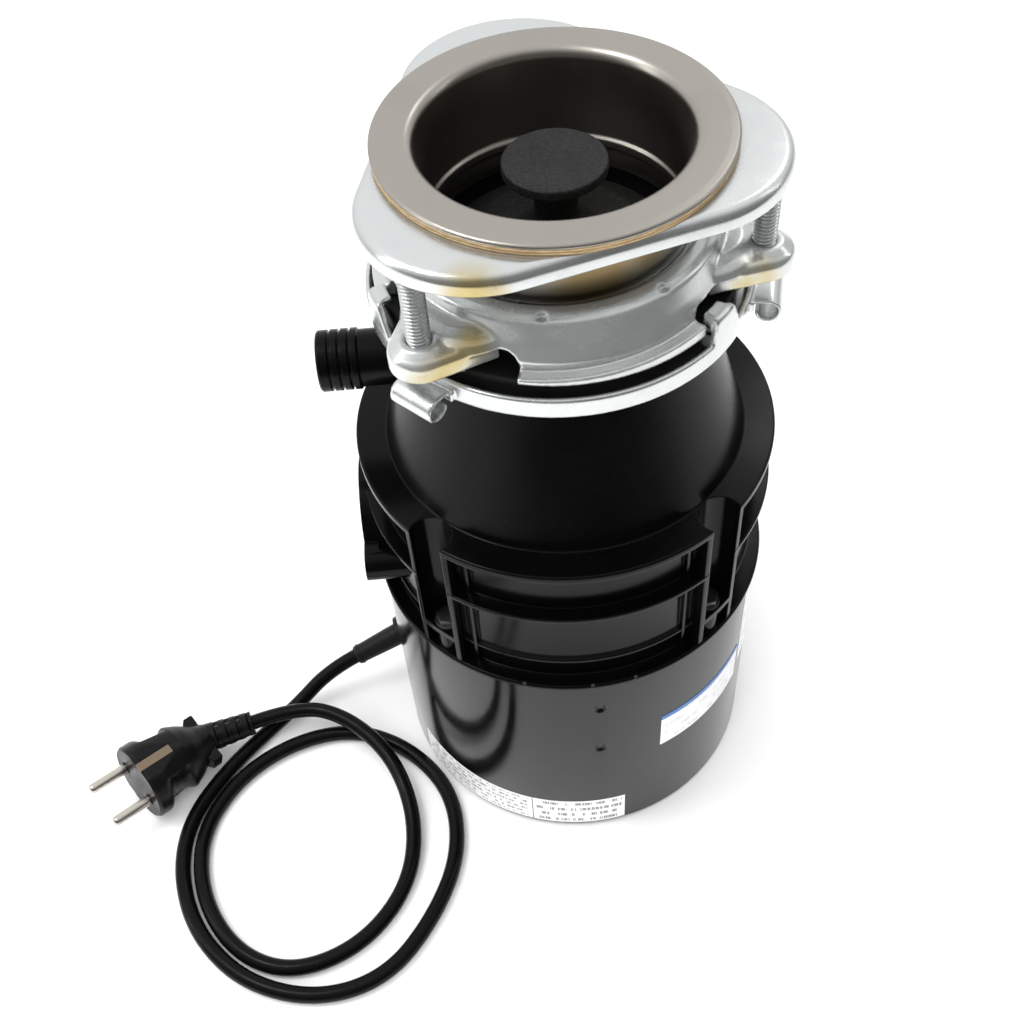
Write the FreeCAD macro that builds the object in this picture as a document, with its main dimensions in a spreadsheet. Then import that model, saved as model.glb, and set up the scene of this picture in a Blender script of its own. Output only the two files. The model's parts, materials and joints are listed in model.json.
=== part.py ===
import FreeCAD, Part
import math
import os
import Sketcher

# Kitchen garbage disposal with its three-screw sink mount and mains cord.
# The frame: +Z is up along the motor axis, +X to the right and -Y to the front, and the
# origin is on the motor axis in the plane that the unit stands on. Lengths are millimetres,
# angles are degrees counted from +X towards +Y.

VECTOR = FreeCAD.Vector
UP = VECTOR(0, 0, 1)
FULL_TURN = 360

DIMENSIONS = {
    # sink flange, its gasket and the snap ring that carries the mount
    "rim_radius": 57.15,
    "rim_top": 316.0,
    "rim_thickness": 1.6,
    "rim_inner_round": 3.9,
    "rim_outer_round": 2.2,
    "sleeve_radius": 44.5,
    "sleeve_wall": 1.4,
    "sleeve_bottom": 272.0,
    "bead_depth": 1.2,
    "bead_bottom": 280.4,
    "bead_top": 283.6,
    "fibre_outer": 56.2,
    "fibre_inner": 45.2,
    "fibre_thickness": 2.0,
    "snap_outer": 48.4,
    "snap_gap": 9.0,
    # backup plate and its three screws
    "mount_angle": -133.9,
    "lobe_distance": 35.8,
    "lobe_radius": 37.9,
    "plate_thickness": 2.2,
    "plate_depth": 7.0,
    "plate_round": 3.0,
    "plate_bore": 45.1,
    "screw_circle": 67.2,
    "screw_radius": 3.97,
    "screw_bottom": 269.5,
    "screw_slot": 1.2,
    "screw_tip": 1.1,
    "screw_clearance": 0.06,
    # upper mounting ring
    "lip_inner": 46.4,
    "lip_outer": 50.5,
    "lip_top": 285.4,
    "lip_thickness": 2.2,
    "ring_wall": 2.4,
    "step_radius": 53.4,
    "step_height": 283.8,
    "waist_radius": 55.6,
    "waist_height": 277.0,
    "skirt_radius": 57.8,
    "skirt_height": 271.4,
    "flange_radius": 62.3,
    "flange_top": 268.0,
    "flange_bottom": 265.8,
    "ramp_rise": 2.5,
    "ear_top": 277.0,
    "ear_bottom": 268.6,
    "ear_tip_radius": 10.4,
    "ear_root_radius": 19.0,
    "ear_root_distance": 42.0,
    "ear_round": 2.4,
    "collar_radius": 6.6,
    "collar_height": 1.6,
    "window_top": 274.4,
    "window_from": 12.0,
    "window_left": 33.0,
    "window_right": 27.0,
    # lower mounting ring
    "lower_outer": 65.5,
    "lower_wall": 2.1,
    "lower_inner": 54.0,
    "lower_bottom": 255.0,
    "lower_top": 263.0,
    "lower_floor": 1.8,
    "hook_lip_inner": 59.3,
    "hook_lip_bottom": 271.0,
    "hook_lip_top": 273.0,
    "hook_sweep": 9.0,
    "hook_lead": 33.0,
    "lug_radius": 4.5,
    "lug_bore": 3.2,
    "lug_length": 17.0,
    "lug_distance": 71.0,
    "lug_slit": 2.6,
    # mounting gasket, splash baffle and stopper
    "gasket_outer": 60.5,
    "gasket_bottom": 257.1,
    "gasket_top": 265.5,
    "gasket_ledge": 262.5,
    "gasket_throat": 39.0,
    "gasket_tube_inner": 45.0,
    "gasket_tube_outer": 47.5,
    "gasket_tube_top": 279.0,
    "baffle_outer": 44.6,
    "baffle_thickness": 1.4,
    "baffle_hole": 9.0,
    "baffle_drop": 6.0,
    "baffle_slit": 1.2,
    "seal_radius": 41.4,
    "seal_bottom": 264.4,
    "seal_top": 268.4,
    "dome_radius": 38.0,
    "dome_top": 276.0,
    "stopper_neck": 7.0,
    "knob_radius": 17.0,
    "knob_top": 304.0,
    "knob_thickness": 4.2,
    "dome_bore": 10.0,
    # waste container
    "throat_radius": 46.5,
    "neck_radius": 50.0,
    "neck_lip_radius": 52.0,
    "neck_lip_bottom": 253.0,
    "neck_top": 258.0,
    "cone_top": 247.0,
    "cone_base_radius": 67.75,
    "cone_wall": 3.4,
    "shoulder_radius": 79.4,
    "shoulder_top": 190.3,
    "shoulder_bottom": 187.0,
    "wall_radius": 73.7,
    "wall_thickness": 3.0,
    "rib_radius": 79.5,
    "rib_bottom": 163.0,
    "rib_top": 165.0,
    "bead_radius": 75.2,
    "bead_low": 129.5,
    "bead_high": 132.5,
    "foot_radius": 80.0,
    "foot_top": 120.6,
    "container_bottom": 117.8,
    "edge_break": 0.7,
    # bolt channels in the container's side
    "channel_front_left": -134.0,
    "channel_front_right": -48.5,
    "channel_distance": 76.0,
    "channel_radius": 8.0,
    "channel_wall": 1.9,
    "channel_floor": 135.0,
    "ledge_thickness": 3.0,
    "channel_rib_angle": 6.5,
    "channel_rib_thickness": 1.6,
    "short_rib_angle": 10.8,
    "short_rib_radius": 75.6,
    "bolt_distance": 73.5,
    "bolt_radius": 2.5,
    "bolt_boss_radius": 5.0,
    "bolt_head_flats": 8.0,
    "bolt_head_height": 4.0,
    "bolt_flange_radius": 5.2,
    "bolt_depth": 6.0,
    # dishwasher inlet
    "inlet_height": 227.0,
    "inlet_end": 87.0,
    "inlet_radius": 10.4,
    "inlet_barb_radius": 11.1,
    "inlet_barb_length": 14.5,
    "inlet_bore": 8.0,
    "inlet_groove_depth": 0.9,
    "inlet_groove_width": 1.1,
    "inlet_groove_pitch": 3.6,
    # waste outlet
    "outlet_height": 143.0,
    "outlet_end": 82.0,
    "outlet_boss": 24.0,
    "outlet_bore": 19.0,
    "outlet_screw_spacing": 56.0,
    "outlet_screw_boss": 7.0,
    "outlet_screw_bore": 2.6,
    "outlet_screw_depth": 12.0,
    "outlet_web": 7.0,
    # grind chamber
    "liner_outer": 66.0,
    "liner_wall": 1.0,
    "liner_bottom": 121.0,
    "shredder_outer": 65.0,
    "shredder_inner": 61.8,
    "shredder_bottom": 158.0,
    "shredder_top": 182.0,
    "shredder_slot": 3.0,
    "shredder_slot_top": 174.0,
    # turntable, impellers and shaft
    "turntable_radius": 61.0,
    "turntable_bottom": 164.0,
    "turntable_top": 166.5,
    "hub_radius": 13.0,
    "hub_bottom": 157.0,
    "nut_flats": 15.0,
    "nut_height": 5.0,
    "shaft_radius": 6.35,
    "thread_radius": 5.0,
    "shaft_bottom": 8.6,
    "shaft_top": 175.0,
    "wrench_flats": 6.4,
    "wrench_depth": 9.0,
    "pivot_distance": 40.0,
    "rivet_radius": 3.9,
    "rivet_head_radius": 6.5,
    "rivet_head_height": 2.2,
    "impeller_bottom": 166.9,
    "impeller_thickness": 3.5,
    "impeller_eye_radius": 7.5,
    "impeller_reach": 13.0,
    "impeller_toe_radius": 6.5,
    "impeller_bore": 3.96,
    "impeller_lug_height": 11.0,
    "impeller_lug_width": 12.0,
    "impeller_gap": 0.3,
    # motor
    "shell_radius": 79.0,
    "shell_wall": 1.2,
    "shell_lip": 72.0,
    "shell_round": 2.6,
    "dimple_angle": -86.4,
    "dimple_high": 101.0,
    "dimple_low": 69.4,
    "dimple_sphere": 2.4,
    "dimple_depth": 0.7,
    "frame_radius": 77.8,
    "upper_frame_bottom": 110.0,
    "spigot_top": 121.0,
    "hub_outer": 18.0,
    "hub_top": 140.0,
    "seal_bore": 14.0,
    "shaft_seal_bottom": 134.0,
    "shaft_seal_bore": 6.42,
    "upper_bearing_radius": 11.0,
    "upper_bearing_bottom": 112.0,
    "bearing_bore": 6.4,
    "lower_frame_top": 8.0,
    "lower_hub_outer": 16.0,
    "lower_hub_top": 24.0,
    "lower_bearing_radius": 9.0,
    "access_radius": 5.2,
    "washer_outer": 12.0,
    "washer_thickness": 1.6,
    "stator_bottom": 44.0,
    "stator_top": 84.0,
    "stator_bore": 38.6,
    "slot_outer": 56.0,
    "slot_inner": 42.0,
    "slot_width": 5.0,
    "winding_outer": 58.0,
    "winding_height": 14.0,
    "rotor_radius": 38.0,
    "cage_outer": 37.4,
    "cage_inner": 29.0,
    "cage_height": 6.0,
    # electrical parts in the base
    "button_distance": 67.0,
    "button_angle": -120.0,
    "button_radius": 3.0,
    "button_bore": 3.35,
    "button_bottom": 0.9,
    "button_top": 13.0,
    "protector_top": 28.0,
    "protector_depth": 13.0,
    "protector_width": 20.0,
    "protector_bore_top": 18.0,
    "relay_angle": 60.0,
    "relay_width": 30.0,
    "wiring_box_x": 24.0,
    "wiring_box_length": 32.0,
    "wiring_box_width": 28.0,
    "wiring_box_top": 6.8,
    "cover_margin": 4.0,
    "cover_thickness": 1.0,
    "cover_screw_radius": 3.0,
    "ground_screw_radius": 3.2,
    "ground_screw_x": 34.0,
    "ground_screw_y": 36.0,
    # labels
    "label_thickness": 0.2,
    "band_bottom": 3.0,
    "band_top": 23.0,
    "band_start": -154.0,
    "band_split": -108.6,
    "band_end": -78.5,
    "side_label_bottom": 57.0,
    "side_label_top": 80.0,
    "side_label_start": -67.0,
    "side_label_end": -31.0,
    "strip_bottom": 64.0,
    "strip_top": 114.0,
    "strip_start": -29.0,
    "strip_end": -10.0,
    # mains cord
    "cord_radius": 3.5,
    "gland_flange_radius": 8.0,
    "gland_flange_length": 9.0,
    "gland_sleeve_radius": 5.4,
    "gland_tip_radius": 4.5,
    "gland_sleeve_length": 24.0,
    # plug with two pins and two earthing clips
    "plug_face_radius": 18.5,
    "plug_flat": 16.8,
    "plug_rim_length": 8.0,
    "plug_head_length": 22.0,
    "plug_head_back": 16.0,
    "plug_neck_length": 16.0,
    "plug_neck_back": 7.6,
    "ear_span": 12.8,
    "ear_length": 4.6,
    "ear_half_height": 4.5,
    "relief_length": 22.0,
    "relief_front": 7.0,
    "relief_back": 5.6,
    "pin_radius": 2.4,
    "pin_length": 19.0,
    "pin_root": 8.0,
    "pin_root_radius": 2.2,
    "pin_neck": 0.5,
    "pin_spacing": 19.2,
    "pin_nose": 1.6,
    "clip_width": 4.2,
    "clip_thickness": 0.8,
    "clip_length": 17.0,
}

# The free cord lies in two loose turns on the surface, from the gland to the plug. The two
# raised stretches near its end pass over the first turn and over the outgoing stretch.
CORD_ROUTE = [
    (-103.8, 8.3, 23.5),
    (-118.4, 4.7, 18.0),
    (-136.5, -6.0, 5.0),
    (-152.5, -20.0, 3.5),
    (-169.0, -37.5, 3.5),
    (-184.0, -61.0, 3.5),
    (-186.5, -87.0, 3.5),
    (-176.5, -116.0, 3.5),
    (-154.0, -139.0, 3.5),
    (-122.5, -149.0, 3.5),
    (-93.0, -142.0, 3.5),
    (-72.5, -118.0, 3.5),
    (-60.0, -89.5, 3.5),
    (-62.0, -59.0, 3.5),
    (-80.5, -34.5, 3.5),
    (-107.0, -21.0, 3.5),
    (-136.0, -24.5, 3.5),
    (-162.5, -41.0, 3.5),
    (-178.5, -68.5, 3.5),
    (-175.5, -99.5, 3.5),
    (-158.5, -126.0, 3.5),
    (-133.0, -137.0, 3.5),
    (-103.0, -127.0, 3.5),
    (-82.5, -101.5, 3.5),
    (-79.0, -70.5, 6.0),
    (-89.0, -41.0, 11.5),
    (-110.5, -19.0, 13.2),
    (-133.0, -11.1, 13.3),
    (-155.5, -18.0, 13.3),
]
CORD_CORNER_SHARE = 0.45

PLUG_NECK = VECTOR(-176.5, -24.4, 13.3)
PLUG_HEADING = -140.0
PLUG_PITCH = 9.5
PLUG_ROLL = -13.8

GROOVES_ON_INLET = 3
FOOT_NOTCH_ANGLES = (-107.7, -88.5, -76.2)
FOOT_NOTCH_SIZE = 0.8
SHREDDER_SLOTS = 24
STATOR_SLOTS = 24
BAFFLE_SLITS = 8


class Size:
    """A length that carries its number and the spreadsheet formula that gives it."""

    def __init__(self, value, formula):
        self.value = float(value)
        self.formula = formula

    def joined(self, other, sign, value):
        right = other.formula if isinstance(other, Size) else repr(other)
        return Size(value, "(%s %s %s)" % (self.formula, sign, right))

    def __add__(self, other):
        return self.joined(other, "+", self.value + number(other))

    def __sub__(self, other):
        return self.joined(other, "-", self.value - number(other))

    def __rsub__(self, other):
        return -(self - other)

    def __mul__(self, other):
        return self.joined(other, "*", self.value * number(other))

    def __truediv__(self, other):
        return self.joined(other, "/", self.value / number(other))

    def __neg__(self):
        return Size(-self.value, "(0 - %s)" % self.formula)


def number(size):
    return size.value if isinstance(size, Size) else float(size)


doc = FreeCAD.newDocument("garbage_disposal")
sheet = doc.addObject("Spreadsheet::Sheet", "sizes")


class Dims:
    """Every driving dimension, read as dims.name."""


dims = Dims()
for row, (alias, value) in enumerate(DIMENSIONS.items(), start=1):
    cell = "B%d" % row
    sheet.set("A%d" % row, alias)
    sheet.set(cell, str(value))
    sheet.setAlias(cell, alias)
    setattr(dims, alias, Size(value, "sizes." + alias))
doc.recompute()

subparts = {}


def part(label, item):
    """Name a finished sub-part; its label names its file."""
    item.Label = label
    subparts[label] = item
    return item


def bind(item, name, size):
    """Set a property of an object, and keep it tied to the sheet when the size comes from it."""
    if isinstance(size, Size):
        item.setExpression(name, size.formula)
    elif "." not in name:
        setattr(item, name, size)


def polar(radius, angle, height=0.0):
    turn = math.radians(number(angle))
    return VECTOR(number(radius) * math.cos(turn), number(radius) * math.sin(turn), number(height))


def place_polar(item, radius, angle, height):
    """Stand an object at a radius, an angle about the motor axis and a height."""
    item.Placement = FreeCAD.Placement(polar(radius, angle, height), FreeCAD.Rotation(UP, number(angle)))
    if isinstance(radius, Size):
        item.setExpression("Placement.Base.x", "%s * %r" % (radius.formula, math.cos(math.radians(number(angle)))))
        item.setExpression("Placement.Base.y", "%s * %r" % (radius.formula, math.sin(math.radians(number(angle)))))
    bind(item, "Placement.Base.z", height)
    return item


def cylinder(radius, bottom, top, distance=0.0, angle=0.0, sweep=FULL_TURN, start=None):
    """An upright cylinder, or a sector of one from the start angle."""
    item = doc.addObject("Part::Cylinder", "cylinder")
    bind(item, "Radius", radius)
    bind(item, "Height", top - bottom)
    item.Angle = sweep
    place_polar(item, distance, angle, bottom)
    if start is not None:
        item.Placement.Rotation = FreeCAD.Rotation(UP, number(start))
    return item


def upright_cone(low_radius, high_radius, bottom, top, distance, angle):
    item = doc.addObject("Part::Cone", "cone")
    bind(item, "Radius1", low_radius)
    bind(item, "Radius2", high_radius)
    bind(item, "Height", top - bottom)
    return place_polar(item, distance, angle, bottom)


def rod(radius, start, end, y, z):
    """A cylinder along -X, from the distance start to the distance end from the motor axis."""
    item = doc.addObject("Part::Cylinder", "rod")
    bind(item, "Radius", radius)
    bind(item, "Height", end - start)
    item.Placement = FreeCAD.Placement(
        VECTOR(-number(start), number(y), number(z)), FreeCAD.Rotation(VECTOR(0, 1, 0), -90))
    if isinstance(start, Size):
        bind(item, "Placement.Base.x", -start)
    bind(item, "Placement.Base.y", y)
    bind(item, "Placement.Base.z", z)
    return item


def axial(radius, start, end, y=0.0, z=0.0, end_radius=None):
    """A cylinder or cone along +X of a part's own frame, used for the plug and the gland."""
    kind = "Part::Cylinder" if end_radius is None else "Part::Cone"
    item = doc.addObject(kind, "axial")
    bind(item, "Radius" if end_radius is None else "Radius1", radius)
    if end_radius is not None:
        bind(item, "Radius2", end_radius)
    bind(item, "Height", end - start)
    item.Placement = FreeCAD.Placement(
        VECTOR(number(start), number(y), number(z)), FreeCAD.Rotation(VECTOR(0, 1, 0), 90))
    bind(item, "Placement.Base.x", start)
    bind(item, "Placement.Base.y", y)
    bind(item, "Placement.Base.z", z)
    return item


def block(low, high):
    """A box from its low corner to its high corner."""
    item = doc.addObject("Part::Box", "block")
    for side, first, last in zip(("Length", "Width", "Height"), low, high):
        bind(item, side, last - first)
    item.Placement.Base = VECTOR(*[number(first) for first in low])
    for axis, first in zip("xyz", low):
        bind(item, "Placement.Base." + axis, first)
    return item


def radial_block(inner, outer, thickness, bottom, top, angle):
    """A thin upright wall along a radius."""
    item = doc.addObject("Part::Box", "radial_block")
    bind(item, "Length", outer - inner)
    bind(item, "Width", thickness)
    bind(item, "Height", top - bottom)
    turn = FreeCAD.Rotation(UP, number(angle))
    base = turn.multVec(VECTOR(number(inner), -number(thickness) / 2, number(bottom)))
    item.Placement = FreeCAD.Placement(base, turn)
    bind(item, "Placement.Base.z", bottom)
    return item


def hexagon(flats, bottom, top, distance=0.0, angle=0.0):
    """An upright hexagonal prism, given across its flats."""
    item = doc.addObject("Part::Prism", "hexagon")
    item.Polygon = 6
    bind(item, "Circumradius", flats / math.sqrt(3))
    bind(item, "Height", top - bottom)
    return place_polar(item, distance, angle, bottom)


def fuse(*items):
    item = doc.addObject("Part::MultiFuse", "fuse")
    item.Shapes = list(items)
    return item


def cut(base, *tools):
    item = doc.addObject("Part::Cut", "cut")
    item.Base = base
    item.Tool = tools[0] if len(tools) == 1 else fuse(*tools)
    return item


def common(*items):
    item = doc.addObject("Part::MultiCommon", "common")
    item.Shapes = list(items)
    return item


def group(*items):
    """Several separate solids kept in one node."""
    item = doc.addObject("Part::Compound", "group")
    item.Links = list(items)
    return item


def ring(inner, outer, bottom, top):
    return cut(cylinder(outer, bottom, top), cylinder(inner, bottom - 1, top + 1))


def ring_sector(inner, outer, bottom, top, start, sweep):
    """Part of a ring, from the start angle over the sweep."""
    whole = cylinder(outer, bottom, top, sweep=sweep, start=start)
    return cut(whole, cylinder(inner, bottom - 1, top + 1))


def bound_point(sketch, geometry, end, point):
    """Tie one end of a sketch line to the sheet, measured from the sketch's origin."""
    for kind, size in zip(("DistanceX", "DistanceY"), point):
        index = sketch.addConstraint(Sketcher.Constraint(kind, -1, 1, geometry, end, number(size)))
        if isinstance(size, Size):
            sketch.setExpression("Constraints[%d]" % index, size.formula)


def new_sketch(body, role):
    sketch = body.newObject("Sketcher::SketchObject", "outline")
    plane = [feature for feature in body.Origin.OriginFeatures if feature.Role == role][0]
    sketch.AttachmentSupport = [(plane, "")]
    sketch.MapMode = "FlatFace"
    return sketch


def turned(points, rounds=()):
    """A body of revolution about Z from its half section, as (radius, height) points.

    Each entry of rounds is (radius, height, rounding) and names the circular edge to round.
    """
    body = doc.addObject("PartDesign::Body", "turned")
    sketch = new_sketch(body, "XZ_Plane")
    count = len(points)
    for index in range(count):
        first = points[index]
        last = points[(index + 1) % count]
        line = Part.LineSegment(
            VECTOR(number(first[0]), number(first[1]), 0), VECTOR(number(last[0]), number(last[1]), 0))
        sketch.addGeometry(line, False)
    for index in range(count):
        sketch.addConstraint(Sketcher.Constraint("Coincident", index, 2, (index + 1) % count, 1))
    for index, point in enumerate(points):
        bound_point(sketch, index, 1, point)
    revolution = body.newObject("PartDesign::Revolution", "revolution")
    revolution.Profile = sketch
    revolution.ReferenceAxis = (sketch, ["V_Axis"])
    revolution.Angle = FULL_TURN
    last_feature = revolution
    for radius, height, rounding in rounds:
        doc.recompute()
        last_feature = rounded(body, last_feature, rounding, circle_finder(radius, height))
    return body


def circle_finder(radius, height):
    """Tell whether an edge is the circle of this radius and height about the motor axis."""
    def matches(edge):
        curve = edge.Curve
        if not isinstance(curve, Part.Circle):
            return False
        off_axis = math.hypot(curve.Center.x, curve.Center.y)
        near = abs(curve.Radius - number(radius)) < 0.01 and abs(curve.Center.z - number(height)) < 0.01
        return near and off_axis < 0.01
    return matches


def level_finder(height, beyond):
    """Tell whether an edge lies level at this height and further out than a radius."""
    def matches(edge):
        box = edge.BoundBox
        level = abs(box.ZMin - number(height)) < 0.01 and abs(box.ZMax - number(height)) < 0.01
        start = edge.Vertexes[0].Point
        return level and math.hypot(start.x, start.y) > number(beyond)
    return matches


def rounded(body, feature, rounding, matches):
    names = ["Edge%d" % (index + 1) for index, edge in enumerate(feature.Shape.Edges) if matches(edge)]
    if not names:
        raise RuntimeError("no edge to round on " + body.Label)
    fillet = body.newObject("PartDesign::Fillet", "rounding")
    fillet.Base = (feature, names)
    bind(fillet, "Radius", rounding)
    doc.recompute()
    return fillet


def hull_sketch(body, circles, offset):
    """The outline round two or more circles, in counter-clockwise order, joined by tangents.

    Each circle is (distance, angle, radius); offset lifts the sketch off the XY plane.
    """
    sketch = new_sketch(body, "XY_Plane")
    bind(sketch, "AttachmentOffset.Base.z", offset)
    sketch.AttachmentOffset = FreeCAD.Placement(VECTOR(0, 0, number(offset)), FreeCAD.Rotation())
    centres = [polar(distance, angle) for distance, angle, radius in circles]
    count = len(circles)
    normals = []
    for index in range(count):
        after = (index + 1) % count
        line = centres[after] - centres[index]
        lean = math.acos((number(circles[index][2]) - number(circles[after][2])) / line.Length)
        normals.append(math.atan2(line.y, line.x) - lean)
    for index, (distance, angle, radius) in enumerate(circles):
        begin = normals[index - 1]
        finish = normals[index]
        while finish < begin:
            finish += 2 * math.pi
        circle = Part.Circle(centres[index], UP, number(radius))
        sketch.addGeometry(Part.ArcOfCircle(circle, begin, finish), False)
    for index in range(count):
        after = (index + 1) % count
        away = VECTOR(math.cos(normals[index]), math.sin(normals[index]), 0)
        first = centres[index] + away * number(circles[index][2])
        last = centres[after] + away * number(circles[after][2])
        sketch.addGeometry(Part.LineSegment(first, last), False)
    for index in range(count):
        after = (index + 1) % count
        sketch.addConstraint(Sketcher.Constraint("Tangent", index, 2, count + index, 1))
        sketch.addConstraint(Sketcher.Constraint("Tangent", count + index, 2, after, 1))
    for index, (distance, angle, radius) in enumerate(circles):
        across = math.cos(math.radians(number(angle)))
        along = math.sin(math.radians(number(angle)))
        bound_point(sketch, index, 3, (distance * across, distance * along))
        value = sketch.addConstraint(Sketcher.Constraint("Radius", index, number(radius)))
        if isinstance(radius, Size):
            sketch.setExpression("Constraints[%d]" % value, radius.formula)
    return sketch


def hull_body(circles, bottom, top):
    """A plate of the hull of some circles. Gives the body and its pad."""
    body = doc.addObject("PartDesign::Body", "hull")
    sketch = hull_sketch(body, circles, bottom)
    pad = body.newObject("PartDesign::Pad", "pad")
    pad.Profile = sketch
    bind(pad, "Length", top - bottom)
    doc.recompute()
    return body, pad


def copy_turned(item, angle):
    """The same object turned about the motor axis."""
    turned_copy = doc.addObject("Part::Compound", "turned_copy")
    turned_copy.Links = [item]
    turned_copy.Placement = FreeCAD.Placement(VECTOR(0, 0, 0), FreeCAD.Rotation(UP, number(angle)))
    return turned_copy


def mount_angles():
    """The azimuths of the three mounting screws."""
    return [dims.mount_angle.value + 120 * turn for turn in range(3)]


def channel_angles():
    """The azimuths of the four bolt channels: two in front and their opposites."""
    front = [dims.channel_front_left.value, dims.channel_front_right.value]
    return front + [angle + 180 for angle in front]


# ---------------------------------------------------------------- sink mount

def build_sink_flange():
    inner = dims.sleeve_radius - dims.sleeve_wall
    under = dims.rim_top - dims.rim_thickness
    points = [
        (inner, dims.sleeve_bottom),
        (dims.sleeve_radius, dims.sleeve_bottom),
        (dims.sleeve_radius, dims.bead_bottom),
        (dims.sleeve_radius - dims.bead_depth, dims.bead_bottom + 0.4),
        (dims.sleeve_radius - dims.bead_depth, dims.bead_top - 0.4),
        (dims.sleeve_radius, dims.bead_top),
        (dims.sleeve_radius, under),
        (dims.rim_radius, under),
        (dims.rim_radius, dims.rim_top),
        (inner, dims.rim_top),
        (inner, dims.bead_top + 0.6),
        (inner - dims.bead_depth, dims.bead_top - 0.2),
        (inner - dims.bead_depth, dims.bead_bottom + 0.2),
        (inner, dims.bead_bottom - 0.6),
    ]
    rounds = [
        (inner, dims.rim_top, dims.rim_inner_round),
        (dims.rim_radius, dims.rim_top, 0.6),
    ]
    part("sink_flange", turned(points, rounds))


def build_flange_gasket():
    top = dims.rim_top - dims.rim_thickness
    part("flange_gasket", ring(dims.fibre_inner, dims.fibre_outer, top - dims.fibre_thickness, top))


def build_snap_ring():
    inner = dims.sleeve_radius - dims.bead_depth + 0.05
    bottom = dims.bead_bottom + 0.4
    top = dims.bead_top - 0.4
    whole = ring(inner, dims.snap_outer, bottom, top)
    gap = radial_block(inner - 5, dims.snap_outer + 5, dims.snap_gap, bottom - 1, top + 1, 60.0)
    part("snap_ring", cut(whole, gap))


def build_backup_plate():
    top = dims.rim_top - dims.rim_thickness - dims.fibre_thickness
    bottom = top - dims.plate_depth
    circles = [(dims.lobe_distance, angle, dims.lobe_radius) for angle in mount_angles()]
    solid, pad = hull_body(circles, bottom, top)
    rounded(solid, pad, dims.plate_round, level_finder(top, 5.0))
    inner = [(dims.lobe_distance, angle, dims.lobe_radius - dims.plate_thickness) for angle in mount_angles()]
    hollow, pad = hull_body(inner, bottom - 1, top - dims.plate_thickness)
    rounded(hollow, pad, 1.4, level_finder(top - dims.plate_thickness, 5.0))
    bore = cylinder(dims.plate_bore, bottom - 1, top + 1)
    part("backup_plate", cut(solid, hollow, bore))


def build_backup_screws():
    top = dims.rim_top - dims.rim_thickness - dims.fibre_thickness - dims.plate_thickness
    for index, angle in enumerate(mount_angles(), start=1):
        shank = cylinder(dims.screw_radius, dims.screw_bottom, top - dims.screw_tip, dims.screw_circle, angle)
        tip = upright_cone(
            dims.screw_radius, dims.screw_radius - dims.screw_tip, top - dims.screw_tip, top,
            dims.screw_circle, angle)
        reach = dims.screw_radius + 1
        slot = radial_block(
            dims.screw_circle - reach, dims.screw_circle + reach, dims.screw_slot,
            dims.screw_bottom - 1, dims.screw_bottom + 1.6, angle)
        part("backup_screw_%d" % index, cut(fuse(shank, tip), slot))


def build_upper_mounting_ring():
    wall = dims.ring_wall
    points = [
        (dims.lip_inner, dims.lip_top - dims.lip_thickness),
        (dims.snap_outer + 1, dims.lip_top - dims.lip_thickness),
        (dims.step_radius - wall, dims.step_height - dims.lip_thickness),
        (dims.waist_radius - wall, dims.waist_height - 0.6),
        (dims.skirt_radius - wall, dims.skirt_height),
        (dims.skirt_radius - wall, dims.flange_bottom),
        (dims.flange_radius, dims.flange_bottom),
        (dims.flange_radius, dims.flange_top),
        (dims.skirt_radius, dims.flange_top),
        (dims.skirt_radius, dims.skirt_height),
        (dims.waist_radius, dims.waist_height),
        (dims.step_radius, dims.step_height),
        (dims.lip_outer, dims.lip_top),
        (dims.lip_inner, dims.lip_top),
    ]
    rounds = [
        (dims.lip_outer, dims.lip_top, 2.2),
        (dims.lip_inner, dims.lip_top, 0.9),
        (dims.step_radius, dims.step_height, 1.2),
        (dims.flange_radius, dims.flange_top, 0.7),
    ]
    body = turned(points, rounds)
    ears = []
    holes = []
    windows = []
    ramps = []
    for angle in mount_angles():
        circles = [
            (dims.ear_root_distance, angle, dims.ear_root_radius),
            (dims.screw_circle, angle, dims.ear_tip_radius),
        ]
        ear, pad = hull_body(circles, dims.ear_bottom, dims.ear_top)
        rounded(ear, pad, dims.ear_round, level_finder(dims.ear_top, 5.0))
        core = cylinder(dims.waist_radius - 1, dims.ear_bottom - 1, dims.ear_top + 1)
        ears.append(cut(ear, core))
        collar_top = dims.ear_top + dims.collar_height
        ears.append(cylinder(dims.collar_radius, dims.ear_top - 1, collar_top, dims.screw_circle, angle))
        bore = dims.screw_radius + dims.screw_clearance
        holes.append(cylinder(bore, dims.ear_bottom - 1, collar_top + 1, dims.screw_circle, angle))
        for first, sweep in (
                (angle - dims.window_left.value, dims.window_left.value - dims.window_from.value),
                (angle + dims.window_from.value, dims.window_right.value - dims.window_from.value)):
            windows.append(ring_sector(
                dims.lip_outer, dims.flange_radius + 2, dims.flange_bottom - 1, dims.window_top, first, sweep))
        ramps.append(build_ramp(angle + dims.window_right.value))
    body = cut(fuse(body, *ramps), *windows)
    part("upper_mounting_ring", cut(fuse(body, *ears), *holes))


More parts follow.
